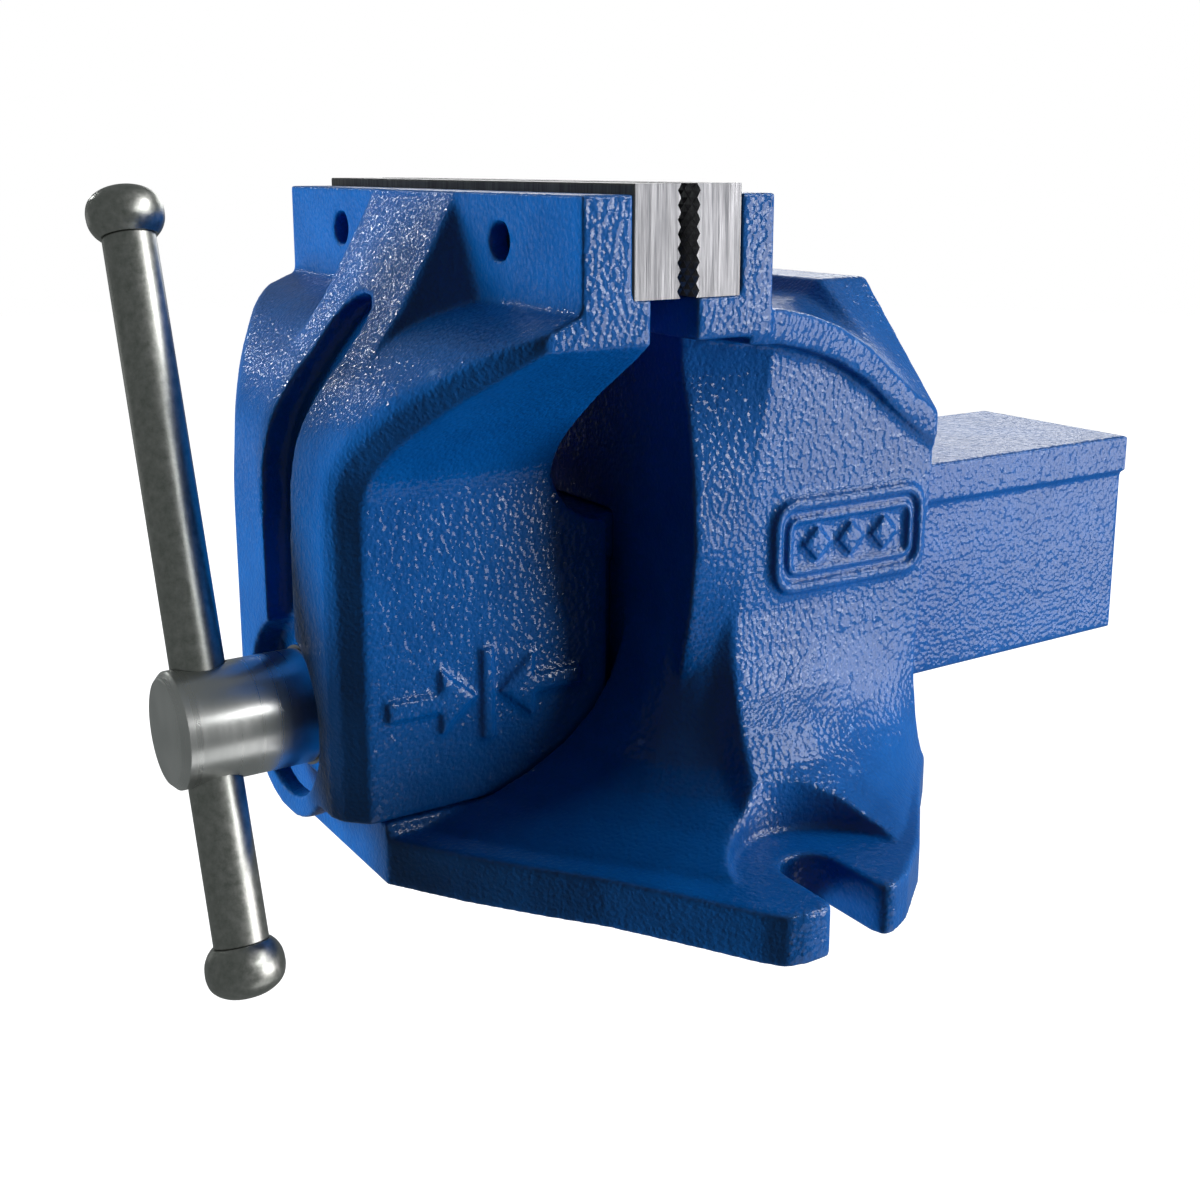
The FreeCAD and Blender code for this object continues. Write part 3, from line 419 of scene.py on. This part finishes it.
def serrated_plate(node, name, inward):
    """Jaw plate with a diamond pattern on its gripping face and two countersunk holes."""
    low, high, _ = box_size(node)
    grip_y = low.y if inward > 0 else high.y
    seat_y = high.y if inward > 0 else low.y
    step = TOOTH_PITCH / 2
    columns = 2 * int(round((high.x - low.x) / step / 2))
    rows = 2 * int(round((high.z - low.z) / step / 2))
    bm = bmesh.new()
    grid = []
    for row in range(rows + 1):
        line = []
        for column in range(columns + 1):
            valley = (row + column) % 2
            x = low.x + (high.x - low.x) * column / columns
            z = low.z + (high.z - low.z) * row / rows
            line.append(bm.verts.new((x, grip_y + inward * TOOTH_DEPTH * valley, z)))
        grid.append(line)
    for row in range(rows):
        for column in range(columns):
            a, b = grid[row][column], grid[row][column + 1]
            c, d = grid[row + 1][column + 1], grid[row + 1][column]
            if (row + column) % 2:
                bm.faces.new((a, b, c))
                bm.faces.new((a, c, d))
            else:
                bm.faces.new((a, b, d))
                bm.faces.new((b, c, d))
    right_side, left_side = [line[-1] for line in grid[1:]], [line[0] for line in grid[-2:0:-1]]
    rim = grid[0] + right_side + grid[-1][-2::-1] + left_side
    levels = [(seat_y - inward * PLATE_EDGE, 0.0), (seat_y, PLATE_EDGE)]
    previous = rim
    for y, inset in levels:
        ring = []
        for vert in rim:
            x = min(max(vert.co.x, low.x + inset), high.x - inset)
            z = min(max(vert.co.z, low.z + inset), high.z - inset)
            ring.append(bm.verts.new((x, y, z)))
        for index in range(len(rim)):
            after = (index + 1) % len(rim)
            bm.faces.new((previous[index], previous[after], ring[after], ring[index]))
        previous = ring
    bm.faces.new(previous)
    plate = object_from_bmesh(name, bm)
    direction = Vector((0, inward, 0))
    depth = abs(seat_y - grip_y) + TOOL_OVER
    cone_end = PLATE_SCREW_SINK + PLATE_SCREW_CONE
    tools = []
    for side in (-1, 1):
        hole = [(-TOOL_OVER, 0), (-TOOL_OVER, PLATE_SCREW_HEAD_R), (PLATE_SCREW_SINK, PLATE_SCREW_HEAD_R),
                (cone_end, PLATE_SCREW_HOLE_R), (depth, PLATE_SCREW_HOLE_R), (depth, 0)]
        spot = Vector((side * PLATE_SCREW_X, grip_y, box_size("front_plate_screws")[2].z))
        tools.append(object_from_bmesh("tool", lathe_bmesh(hole, spot, direction, segments=48)))
    cut_away(plate, tools)
    shade(plate, 25.0)
    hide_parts(node)
    return plate


def plate_screw_pair(node, name, inward):
    """Two countersunk screws with hexagon sockets."""
    low, high, middle = box_size(node)
    top_y = low.y if inward > 0 else high.y
    length = high.y - low.y
    head_r = high.z - middle.z
    shank_r = head_r - PLATE_SCREW_CONE * PLATE_SCREW_TAPER
    direction = Vector((0, inward, 0))
    made = []
    for side in (-1, 1):
        spot = Vector((side * PLATE_SCREW_X, top_y, middle.z))
        profile = [(0, 0), (0, head_r), (PLATE_SCREW_LAND, head_r), (PLATE_SCREW_CONE, shank_r),
                   (length - PLATE_SCREW_TIP, shank_r), (length, shank_r - PLATE_SCREW_TIP), (length, 0)]
        soft = rounded_profile(profile, PLATE_SCREW_ROUND, steps=2)
        screw = object_from_bmesh(name, lathe_bmesh(soft, spot, direction, segments=64))
        socket = [(-TOOL_OVER / 2, 0), (-TOOL_OVER / 2, SOCKET_R), (SOCKET_DEPTH, SOCKET_R),
                  (SOCKET_DEPTH, 0)]
        hexagon = object_from_bmesh("tool", lathe_bmesh(socket, spot, direction, segments=6))
        made.append(cut_away(screw, [hexagon]))
    pair = merge(made[0], made[1:])
    pair.name = name
    shade(pair, 30.0)
    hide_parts(node)
    return pair


# --- main screw and bar -----------------------------------------------------------------

def thread(radius):
    """Right-hand trapezoidal thread between the journal and the tail, on a core."""
    turns = int((THREAD_END_Y - JOURNAL_END_Y) / THREAD_PITCH) + 3
    start = JOURNAL_END_Y - THREAD_PITCH
    bm = bmesh.new()
    rows = []
    for turn in range(turns):
        for share, rise in THREAD_SECTION:
            row = []
            for step in range(THREAD_SEGMENTS):
                angle = 2 * math.pi * step / THREAD_SEGMENTS
                y = start + THREAD_PITCH * (turn + share - step / THREAD_SEGMENTS)
                r = THREAD_CORE_R + (radius - THREAD_CORE_R) * rise
                # counted about -Y, so that the thread is right-handed
                row.append(bm.verts.new((r * math.sin(angle), y, SCREW_AXIS_Z + r * math.cos(angle))))
            rows.append(row)
    wrap = len(THREAD_SECTION)
    for index in range(len(rows) - 1):
        for step in range(THREAD_SEGMENTS - 1):
            bm.faces.new((rows[index][step], rows[index][step + 1],
                          rows[index + 1][step + 1], rows[index + 1][step]))
        if index >= wrap:
            low, high = rows[index - wrap], rows[index - wrap + 1]
            bm.faces.new((rows[index][-1], low[0], high[0], rows[index + 1][-1]))
    for y, way in ((JOURNAL_END_Y - THREAD_OVERLAP, -1), (THREAD_END_Y, 1)):
        geometry = bm.verts[:] + bm.edges[:] + bm.faces[:]
        bmesh.ops.bisect_plane(bm, geom=geometry, dist=1e-6, plane_co=(0, y, 0), plane_no=(0, way, 0),
                               clear_outer=True)
    bmesh.ops.holes_fill(bm, edges=[edge for edge in bm.edges if edge.is_boundary], sides=0)
    return shade(object_from_bmesh("thread", bm), 30.0)


def drill(radius, centre, direction, segments=32):
    """Tool that drills right through the screw."""
    hole = [(-DRILL_REACH, 0), (-DRILL_REACH, radius), (DRILL_REACH, radius), (DRILL_REACH, 0)]
    return object_from_bmesh("tool", lathe_bmesh(hole, centre, direction, segments))


def pin_drill(pin):
    """Tool for the upright hole of a pin through the screw."""
    return drill(PIN_R, Vector((0, box_size(pin)[2].y, SCREW_AXIS_Z)), Vector((0, 0, 1)))


def main_screw_piece():
    """Screw: turned head with its cross hole, journal, thread and drilled tail."""
    low, high = SCREW_LOW, SCREW_HIGH
    head_r = high.x
    start = low.y
    shoulder = box_size("thrust_washer")[0].y - WASHER_GAP - start
    journal_end = JOURNAL_END_Y - start
    along = Vector((0, 1, 0))
    profile = [(0, 0), (0, head_r - HEAD_CHAMFER), (HEAD_CHAMFER, head_r), (shoulder, head_r),
               (shoulder, JOURNAL_R), (journal_end - JOURNAL_CHAMFER, JOURNAL_R),
               (journal_end, JOURNAL_R - JOURNAL_CHAMFER), (journal_end, 0)]
    soft = rounded_profile(profile, HEAD_ROUND, steps=3)
    head = object_from_bmesh("main_screw_piece",
                             lathe_bmesh(soft, Vector((0, start, SCREW_AXIS_Z)), along, segments=128))
    cut_away(head, [drill(BAR_HOLE_R, Vector((0, BAR_MID_Y, SCREW_AXIS_Z)), BAR_DIRECTION, segments=64),
                    pin_drill("collar_pin")])
    shade(head, 30.0)
    tail_start = Vector((0, THREAD_END_Y - TAIL_OVERLAP, SCREW_AXIS_Z))
    tail_length = high.y - tail_start.y
    tail_profile = [(0, 0), (0, TAIL_R), (tail_length - TAIL_CHAMFER, TAIL_R),
                    (tail_length, TAIL_R - TAIL_CHAMFER), (tail_length, 0)]
    soft = rounded_profile(tail_profile, TAIL_ROUND, steps=2)
    tail = object_from_bmesh("tail", lathe_bmesh(soft, tail_start, along, segments=64))
    cut_away(tail, [pin_drill("stop_pin")])
    shade(tail, 30.0)
    screw = merge(head, [thread(JOURNAL_R), tail])
    shade(screw, 30.0)
    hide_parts("main_screw")
    return screw


def bar_piece():
    """Tommy bar with softened ends, inside its knobs."""
    low, high, middle = box_size("tommy_bar")
    # the box of a leaning bar is taller than its axis by what its round ends add
    length = (high.z - low.z - 2 * SPIGOT_R * abs(BAR_DIRECTION.x)) / BAR_DIRECTION.z
    half = length / 2
    neck = half - SPIGOT_LENGTH
    profile = [(-half, 0), (-half, SPIGOT_R), (-neck, SPIGOT_R), (-neck, BAR_R),
               (neck, BAR_R), (neck, SPIGOT_R), (half, SPIGOT_R), (half, 0)]
    soft = rounded_profile(profile, BAR_ROUND, steps=3)
    bar = lathe("tommy_bar_piece", soft, middle, BAR_DIRECTION, segments=64)
    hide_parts("tommy_bar")
    return bar


def smooth_curve(points, per_span=6):
    """Points of a Catmull-Rom curve through the given (along, radius) points."""
    padded = [points[0]] + points + [points[-1]]
    out = []
    for p0, p1, p2, p3 in zip(padded[:-3], padded[1:-2], padded[2:-1], padded[3:]):
        for step in range(per_span):
            t = step / per_span
            out.append(tuple(0.5 * ((2 * b) + (c - a) * t + (2 * a - 5 * b + 4 * c - d) * t * t
                                    + (3 * b - a - 3 * c + d) * t ** 3)
                             for a, b, c, d in zip(p0, p1, p2, p3)))
    return out + [points[-1]]


def knob_piece(node, name, way):
    """Mushroom knob: rolled lip where the bar enters, full belly, flattened dome."""
    direction = BAR_DIRECTION * way
    bowl = smooth_curve([(along * MM, radius * MM) for along, radius in KNOB_OUTLINE])
    profile = [(SPIGOT_LENGTH, 0.0), (SPIGOT_LENGTH, SPIGOT_R), (0.0, SPIGOT_R)] + bowl
    spread = [vert.co.dot(direction) for vert in NODES[node].data.vertices]
    centre = Vector((0, BAR_MID_Y, SCREW_AXIS_Z))
    start = centre + direction * (min(spread) - centre.dot(direction))
    knob = lathe(name, profile, start, direction, segments=80)
    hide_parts(node)
    return knob


# --- materials -----------------------------------------------------------------------

class Nodes:
    """Small helper for building a node material."""

    def __init__(self, name):
        self.material = bpy.data.materials.new(name)
        self.material.use_nodes = True
        self.tree = self.material.node_tree
        self.shader = self.tree.nodes["Principled BSDF"]
        self.coords = self.add("ShaderNodeTexCoord").outputs["Object"]

    def add(self, kind, inputs=None, **settings):
        """New node with its settings and inputs; an input is a value or a socket."""
        node = self.tree.nodes.new(kind)
        for key, value in settings.items():
            setattr(node, key, value)
        for key, value in (inputs or {}).items():
            self.feed(node.inputs[key], value)
        return node

    def feed(self, socket, value):
        """Link a socket or set a value."""
        if isinstance(value, bpy.types.NodeSocket):
            self.tree.links.new(value, socket)
        else:
            socket.default_value = value

    def set(self, **inputs):
        """Set the shader's inputs, underscores for spaces."""
        for key, value in inputs.items():
            self.feed(self.shader.inputs[key.replace("_", " ")], value)

    def noise(self, size, detail=2.0, roughness=0.5, vector=None, distortion=0.0):
        """Noise whose features are about that size in metres."""
        node = self.add("ShaderNodeTexNoise", {"Vector": vector or self.coords, "Scale": 1.0 / size,
                                               "Detail": detail, "Roughness": roughness,
                                               "Distortion": distortion})
        return node.outputs["Fac"]

    def cells(self, size, vector=None, smoothness=1.0):
        """Rounded cells of about that size in metres."""
        node = self.add("ShaderNodeTexVoronoi", {"Vector": vector or self.coords, "Scale": 1.0 / size,
                                                 "Smoothness": smoothness}, feature="SMOOTH_F1")
        return node.outputs["Distance"]

    def stretched(self, scale):
        """Object coordinates scaled differently along each axis."""
        return self.add("ShaderNodeMapping", {"Vector": self.coords, "Scale": scale}).outputs["Vector"]

    def ramp(self, value, low, high, to_low=0.0, to_high=1.0):
        """Value mapped from one range to another, clamped."""
        node = self.add("ShaderNodeMapRange", {"Value": value, "From Min": low, "From Max": high,
                                               "To Min": to_low, "To Max": to_high})
        return node.outputs["Result"]

    def mix(self, factor, first, second):
        """Colour between two colours."""
        node = self.add("ShaderNodeMix", data_type="RGBA")
        self.feed(node.inputs["Factor"], factor)
        self.feed(node.inputs[6], first)
        self.feed(node.inputs[7], second)
        return node.outputs[2]

    def math(self, operation, first, second):
        """Two values combined."""
        node = self.add("ShaderNodeMath", operation=operation)
        self.feed(node.inputs[0], first)
        self.feed(node.inputs[1], second)
        return node.outputs[0]

    def bump(self, height, depth, strength=1.0, under=None):
        """Bump of that depth in metres, on top of another normal if given."""
        inputs = {"Height": height, "Distance": depth, "Strength": strength}
        if under:
            inputs["Normal"] = under
        return self.add("ShaderNodeBump", inputs).outputs["Normal"]


def rgb(red, green, blue):
    """Opaque linear colour."""
    return (red, green, blue, 1.0)


def blue_paint():
    """Gloss enamel over a sand casting: fine leathery skin, beaded gloss, slight colour drift, and a painted
    highlight of lighter blue along convex edges.
    """
    m = Nodes("blue_paint")
    skin = m.math("ADD", m.cells(0.75 * MM), m.math("MULTIPLY", m.noise(0.45 * MM, 3.0, 0.6), 0.7))
    waves = m.noise(9 * MM, 2.0, 0.5)
    cast = m.bump(skin, 0.13 * MM, 1.0, m.bump(waves, 0.8 * MM, 0.3))
    bead = m.cells(1.05 * MM, smoothness=0.3)
    swell = m.bump(m.noise(2.5 * MM, 2.0), 0.10 * MM, 1.0)
    gloss = m.bump(m.math("MULTIPLY", bead, bead), 0.16 * MM, 1.0, swell)
    drift = m.ramp(m.noise(14 * MM, 3.0, 0.6), 0.35, 0.7)
    # painted highlight: the base colour turns lighter blue where the surface is convex (high pointiness), standing
    # in for light catching the rounded edges
    edge = m.ramp(m.add("ShaderNodeNewGeometry").outputs["Pointiness"], 0.52, 0.62)
    base = m.mix(drift, rgb(0.001, 0.095, 0.37), rgb(0.002, 0.12, 0.45))
    m.set(Base_Color=m.mix(edge, base, rgb(0.08, 0.22, 0.55)),
          Roughness=m.ramp(m.noise(2.5 * MM, 3.0, 0.6), 0.3, 0.7, 0.34, 0.46),
          Normal=cast, Specular_IOR_Level=0.10, Specular_Tint=rgb(0.25, 0.55, 1.0),
          Coat_Weight=0.4, Coat_Roughness=0.04, Coat_Normal=gloss)
    return m.material


def ground_steel():
    """Ground and hardened steel: fine vertical grain, light wear."""
    m = Nodes("ground_steel")
    grain = m.noise(0.35 * MM, 3.0, 0.7, m.stretched((1.0, 1.0, 0.035)))
    streak = m.noise(1.1 * MM, 2.0, 0.6, m.stretched((1.0, 1.0, 0.05)))
    tone = m.ramp(m.math("ADD", grain, streak), 0.75, 1.25)
    m.set(Base_Color=m.mix(tone, rgb(0.08, 0.082, 0.087), rgb(0.165, 0.167, 0.173)),
          Metallic=1.0, Roughness=m.ramp(grain, 0.3, 0.7, 0.46, 0.34),
          Normal=m.bump(m.math("ADD", grain, streak), 0.05 * MM, 0.6))
    return m.material


def turned_steel():
    """Bright turned steel: its tool rings across the screw's axis show as bands of gloss."""
    m = Nodes("turned_steel")
    rings = m.ramp(m.noise(1.0 * MM, 1.0, 0.5, m.stretched((0.01, 1.0, 0.01))), 0.3, 0.7)
    dull = m.noise(9 * MM, 1.0, 0.5)
    m.set(Base_Color=m.mix(m.ramp(dull, 0.3, 0.7), rgb(0.50, 0.51, 0.50), rgb(0.66, 0.66, 0.65)),
          Metallic=1.0, Roughness=m.ramp(rings, 0.0, 1.0, 0.26, 0.32))
    return m.material


def satin_steel():
    """Dull drawn bar steel, slightly mottled."""
    m = Nodes("satin_steel")
    mottle = m.noise(1.6 * MM, 4.0, 0.7)
    m.set(Base_Color=m.mix(m.ramp(mottle, 0.3, 0.7), rgb(0.26, 0.275, 0.25), rgb(0.42, 0.42, 0.40)),
          Metallic=1.0, Roughness=m.ramp(mottle, 0.3, 0.7, 0.30, 0.40),
          Normal=m.bump(m.noise(0.5 * MM, 3.0, 0.6), 0.02 * MM, 0.5))
    return m.material


def black_steel():
    """Black oxide finish with a faint oily gloss."""
    m = Nodes("black_steel")
    patch = m.noise(1.5 * MM, 3.0, 0.6)
    m.set(Base_Color=m.mix(patch, rgb(0.012, 0.012, 0.013), rgb(0.035, 0.034, 0.034)),
          Metallic=0.7, Roughness=m.ramp(patch, 0.3, 0.7, 0.32, 0.48),
          Normal=m.bump(m.noise(0.4 * MM, 2.0), 0.015 * MM, 0.5))
    return m.material


def plated_steel():
    """Zinc plate, pale with a cloudy spangle."""
    m = Nodes("plated_steel")
    spangle = m.noise(2.0 * MM, 4.0, 0.7)
    m.set(Base_Color=m.mix(spangle, rgb(0.48, 0.49, 0.50), rgb(0.66, 0.66, 0.64)),
          Metallic=1.0, Roughness=m.ramp(spangle, 0.3, 0.7, 0.28, 0.42),
          Normal=m.bump(m.noise(0.4 * MM, 2.0), 0.012 * MM, 0.5))
    return m.material


def bare_iron():
    """Machined grey iron with open grain and a trace of oil."""
    m = Nodes("bare_iron")
    grain = m.noise(0.5 * MM, 4.0, 0.7)
    stain = m.ramp(m.noise(5 * MM, 3.0, 0.6), 0.4, 0.7)
    m.set(Base_Color=m.mix(stain, rgb(0.16, 0.155, 0.15), rgb(0.27, 0.265, 0.26)),
          Metallic=0.85, Roughness=m.ramp(grain, 0.3, 0.7, 0.38, 0.58),
          Normal=m.bump(grain, 0.05 * MM, 0.6))
    return m.material


def bronze():
    """Bearing bronze, turned, darkened by oil."""
    m = Nodes("bronze")
    stain = m.noise(3 * MM, 3.0, 0.6)
    m.set(Base_Color=m.mix(stain, rgb(0.33, 0.17, 0.06), rgb(0.52, 0.30, 0.12)),
          Metallic=1.0, Roughness=m.ramp(stain, 0.3, 0.7, 0.26, 0.42),
          Normal=m.bump(m.noise(0.4 * MM, 2.0, 0.5, m.stretched((0.05, 1.0, 0.05))), 0.02 * MM, 0.5))
    return m.material


def floor_paint():
    """Pale backdrop that glows evenly, as a lit cyclorama does."""
    m = Nodes("backdrop")
    m.set(Base_Color=m.mix(m.noise(0.4, 2.0), rgb(0.30, 0.30, 0.30), rgb(0.33, 0.33, 0.33)),
          Roughness=0.9, Specular_IOR_Level=0.1,
          Emission_Color=rgb(1, 1, 1), Emission_Strength=1.0)
    return m.material


MATERIALS = {make.__name__: make() for make in (blue_paint, ground_steel, turned_steel, satin_steel,
                                                black_steel, plated_steel, bare_iron, bronze)}


def finish_piece(piece, body, slot):
    """Paint a piece, name its slot and fix it to its body."""
    piece.data.materials.clear()
    piece.data.materials.append(MATERIALS[slot])
    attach(piece, body)


def refinish(node, edge=0.0):
    """Better material on a CAD node that stays, in its own slot, and a small edge break if given."""
    obj = NODES[node]
    slot = SLOTS[node]
    for holder in obj.material_slots:
        holder.material = MATERIALS[slot]
    if not obj.material_slots:
        obj.data.materials.append(MATERIALS[slot])
    if edge:
        bevel = obj.modifiers.new("edge", "BEVEL")
        bevel.width, bevel.segments, bevel.limit_method = edge, 2, "ANGLE"
        bevel.angle_limit = math.radians(32.0)


# --- build ---------------------------------------------------------------------------

def build_castings():
    """Both painted castings."""
    nut_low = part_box("drive_nut")[0]
    guide = zone(0.0, GUIDE_HALF_X, (nut_low[1] - GUIDE_BEFORE_NUT, GUIDE_END_Y),
                 (nut_low[2] - GUIDE_BELOW_NUT, GUIDE_TOP_Z))
    toe = zone(0.0, TOE_HALF_X, TOE_Y, GATE_Z)
    passing = [guide, toe] + both_sides(CHEEK_X, CHEEK_HALF_X, CHEEK_Y, GATE_Z)
    badges = both_sides(BADGE_X, BADGE_HALF_X, BADGE_Y, BADGE_Z)
    marks = both_sides(MARK_X, MARK_HALF_X, MARK_Y, MARK_Z)
    rear_plate = grown(*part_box("rear_jaw_plate"), PLATE_MARGIN)
    front_plate = grown(*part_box("front_jaw_plate"), PLATE_MARGIN)
    finish_piece(casting("fixed_body", "body_casting", [rear_plate] + passing + badges), "base", "blue_paint")
    finish_piece(casting("moving_jaw", "jaw_casting", [front_plate] + passing + marks), "jaw", "blue_paint")


def build_steelwork():
    """Plates, screws, main screw, bar and knobs."""
    finish_piece(serrated_plate("rear_jaw_plate", "rear_plate_piece", 1), "base", "ground_steel")
    finish_piece(serrated_plate("front_jaw_plate", "front_plate_piece", -1), "jaw", "ground_steel")
    finish_piece(plate_screw_pair("rear_plate_screws", "rear_plate_screws_piece", 1), "base", "black_steel")
    finish_piece(plate_screw_pair("front_plate_screws", "front_plate_screws_piece", -1), "jaw", "black_steel")
    finish_piece(main_screw_piece(), "screw", "turned_steel")
    finish_piece(bar_piece(), "bar", "satin_steel")
    finish_piece(knob_piece("upper_knob", "upper_knob_piece", 1), "bar", "satin_steel")
    finish_piece(knob_piece("lower_knob", "lower_knob_piece", -1), "bar", "satin_steel")
    refinish("drive_nut", 0.4 * MM)
    refinish("nut_screws", 0.25 * MM)
    refinish("nut_washers", 0.15 * MM)
    refinish("nut_dowels", 0.2 * MM)
    refinish("screw_bush", 0.3 * MM)
    refinish("thrust_washer", 0.2 * MM)
    refinish("screw_spring")
    refinish("collar_washer", 0.25 * MM)
    refinish("collar_pin")
    refinish("stop_washer", 0.25 * MM)
    refinish("stop_pin")


# --- stage, lights and camera ------------------------------------------------------------

def look_rotation(direction):
    """Rotation that points a camera or light along the direction."""
    return direction.to_track_quat("-Z", "Y").to_euler()


def add_camera():
    """Camera right of the operator's side, looking at the jaws."""
    data = bpy.data.cameras.new("camera")
    data.sensor_width, data.lens, data.shift_y = SENSOR, CAMERA_LENS, CAMERA_SHIFT
    data.clip_start, data.clip_end = CAMERA_CLIP
    camera = bpy.data.objects.new("camera", data)
    bpy.context.scene.collection.objects.link(camera)
    camera.location = CAMERA_AT
    ahead = Vector((-math.sin(CAMERA_AZIMUTH) * math.cos(CAMERA_DIP),
                    math.cos(CAMERA_AZIMUTH) * math.cos(CAMERA_DIP), -math.sin(CAMERA_DIP)))
    camera.rotation_euler = look_rotation(ahead)
    bpy.context.scene.camera = camera


def add_light(name, bearing_deg, height_deg, distance, size, power, colour, lights):
    """Soft box aimed at the middle of the vise."""
    data = bpy.data.lights.new(name, "AREA")
    data.shape, data.size, data.size_y = "RECTANGLE", size[0], size[1]
    data.energy, data.color = power, colour
    light = bpy.data.objects.new(name, data)
    bpy.context.scene.collection.objects.link(light)
    bearing, height = math.radians(bearing_deg), math.radians(height_deg)
    way = Vector((math.cos(bearing) * math.cos(height), math.sin(bearing) * math.cos(height),
                  math.sin(height)))
    middle = (cad_low + cad_high) / 2
    light.location = middle + way * distance
    light.rotation_euler = look_rotation(-way)
    light.visible_camera = False
    light.visible_diffuse = lights != "gloss"
    light.visible_glossy = lights != "body"


def add_world():
    """White to the camera, dim grey to gloss and dimmer still to diffuse light."""
    world = bpy.data.worlds.new("studio")
    bpy.context.scene.world = world
    world.use_nodes = True
    tree = world.node_tree
    path = tree.nodes.new("ShaderNodeLightPath")
    surface = tree.nodes["Background"]
    surface.inputs["Strength"].default_value = WORLD_BODY[0]
    surface.inputs["Color"].default_value = rgb(*WORLD_BODY[1])
    for ray, (strength, colour) in (("Is Glossy Ray", WORLD_GLOSS), ("Is Camera Ray", WORLD_CAMERA)):
        shown = tree.nodes.new("ShaderNodeBackground")
        shown.inputs["Strength"].default_value = strength
        shown.inputs["Color"].default_value = rgb(*colour)
        choice = tree.nodes.new("ShaderNodeMixShader")
        tree.links.new(path.outputs[ray], choice.inputs[0])
        tree.links.new(surface.outputs[0], choice.inputs[1])
        tree.links.new(shown.outputs[0], choice.inputs[2])
        surface = choice
    tree.links.new(surface.outputs[0], tree.nodes["World Output"].inputs["Surface"])


def add_floor():
    """Round pale floor, below the reach of the turning bar."""
    bm = bmesh.new()
    bmesh.ops.create_circle(bm, cap_ends=True, segments=96, radius=FLOOR_R)
    floor = object_from_bmesh("floor", bm)
    floor.location.z = FLOOR_Z
    floor.data.materials.append(floor_paint())
    # the floor is only a backdrop: it neither lights the vise nor blocks the lights below it
    floor.visible_diffuse = floor.visible_glossy = floor.visible_shadow = False


build_castings()
build_steelwork()
add_floor()
add_world()
for light_settings in LIGHTS:
    add_light(*light_settings)
add_camera()
bpy.context.scene.view_settings.view_transform = "Standard"
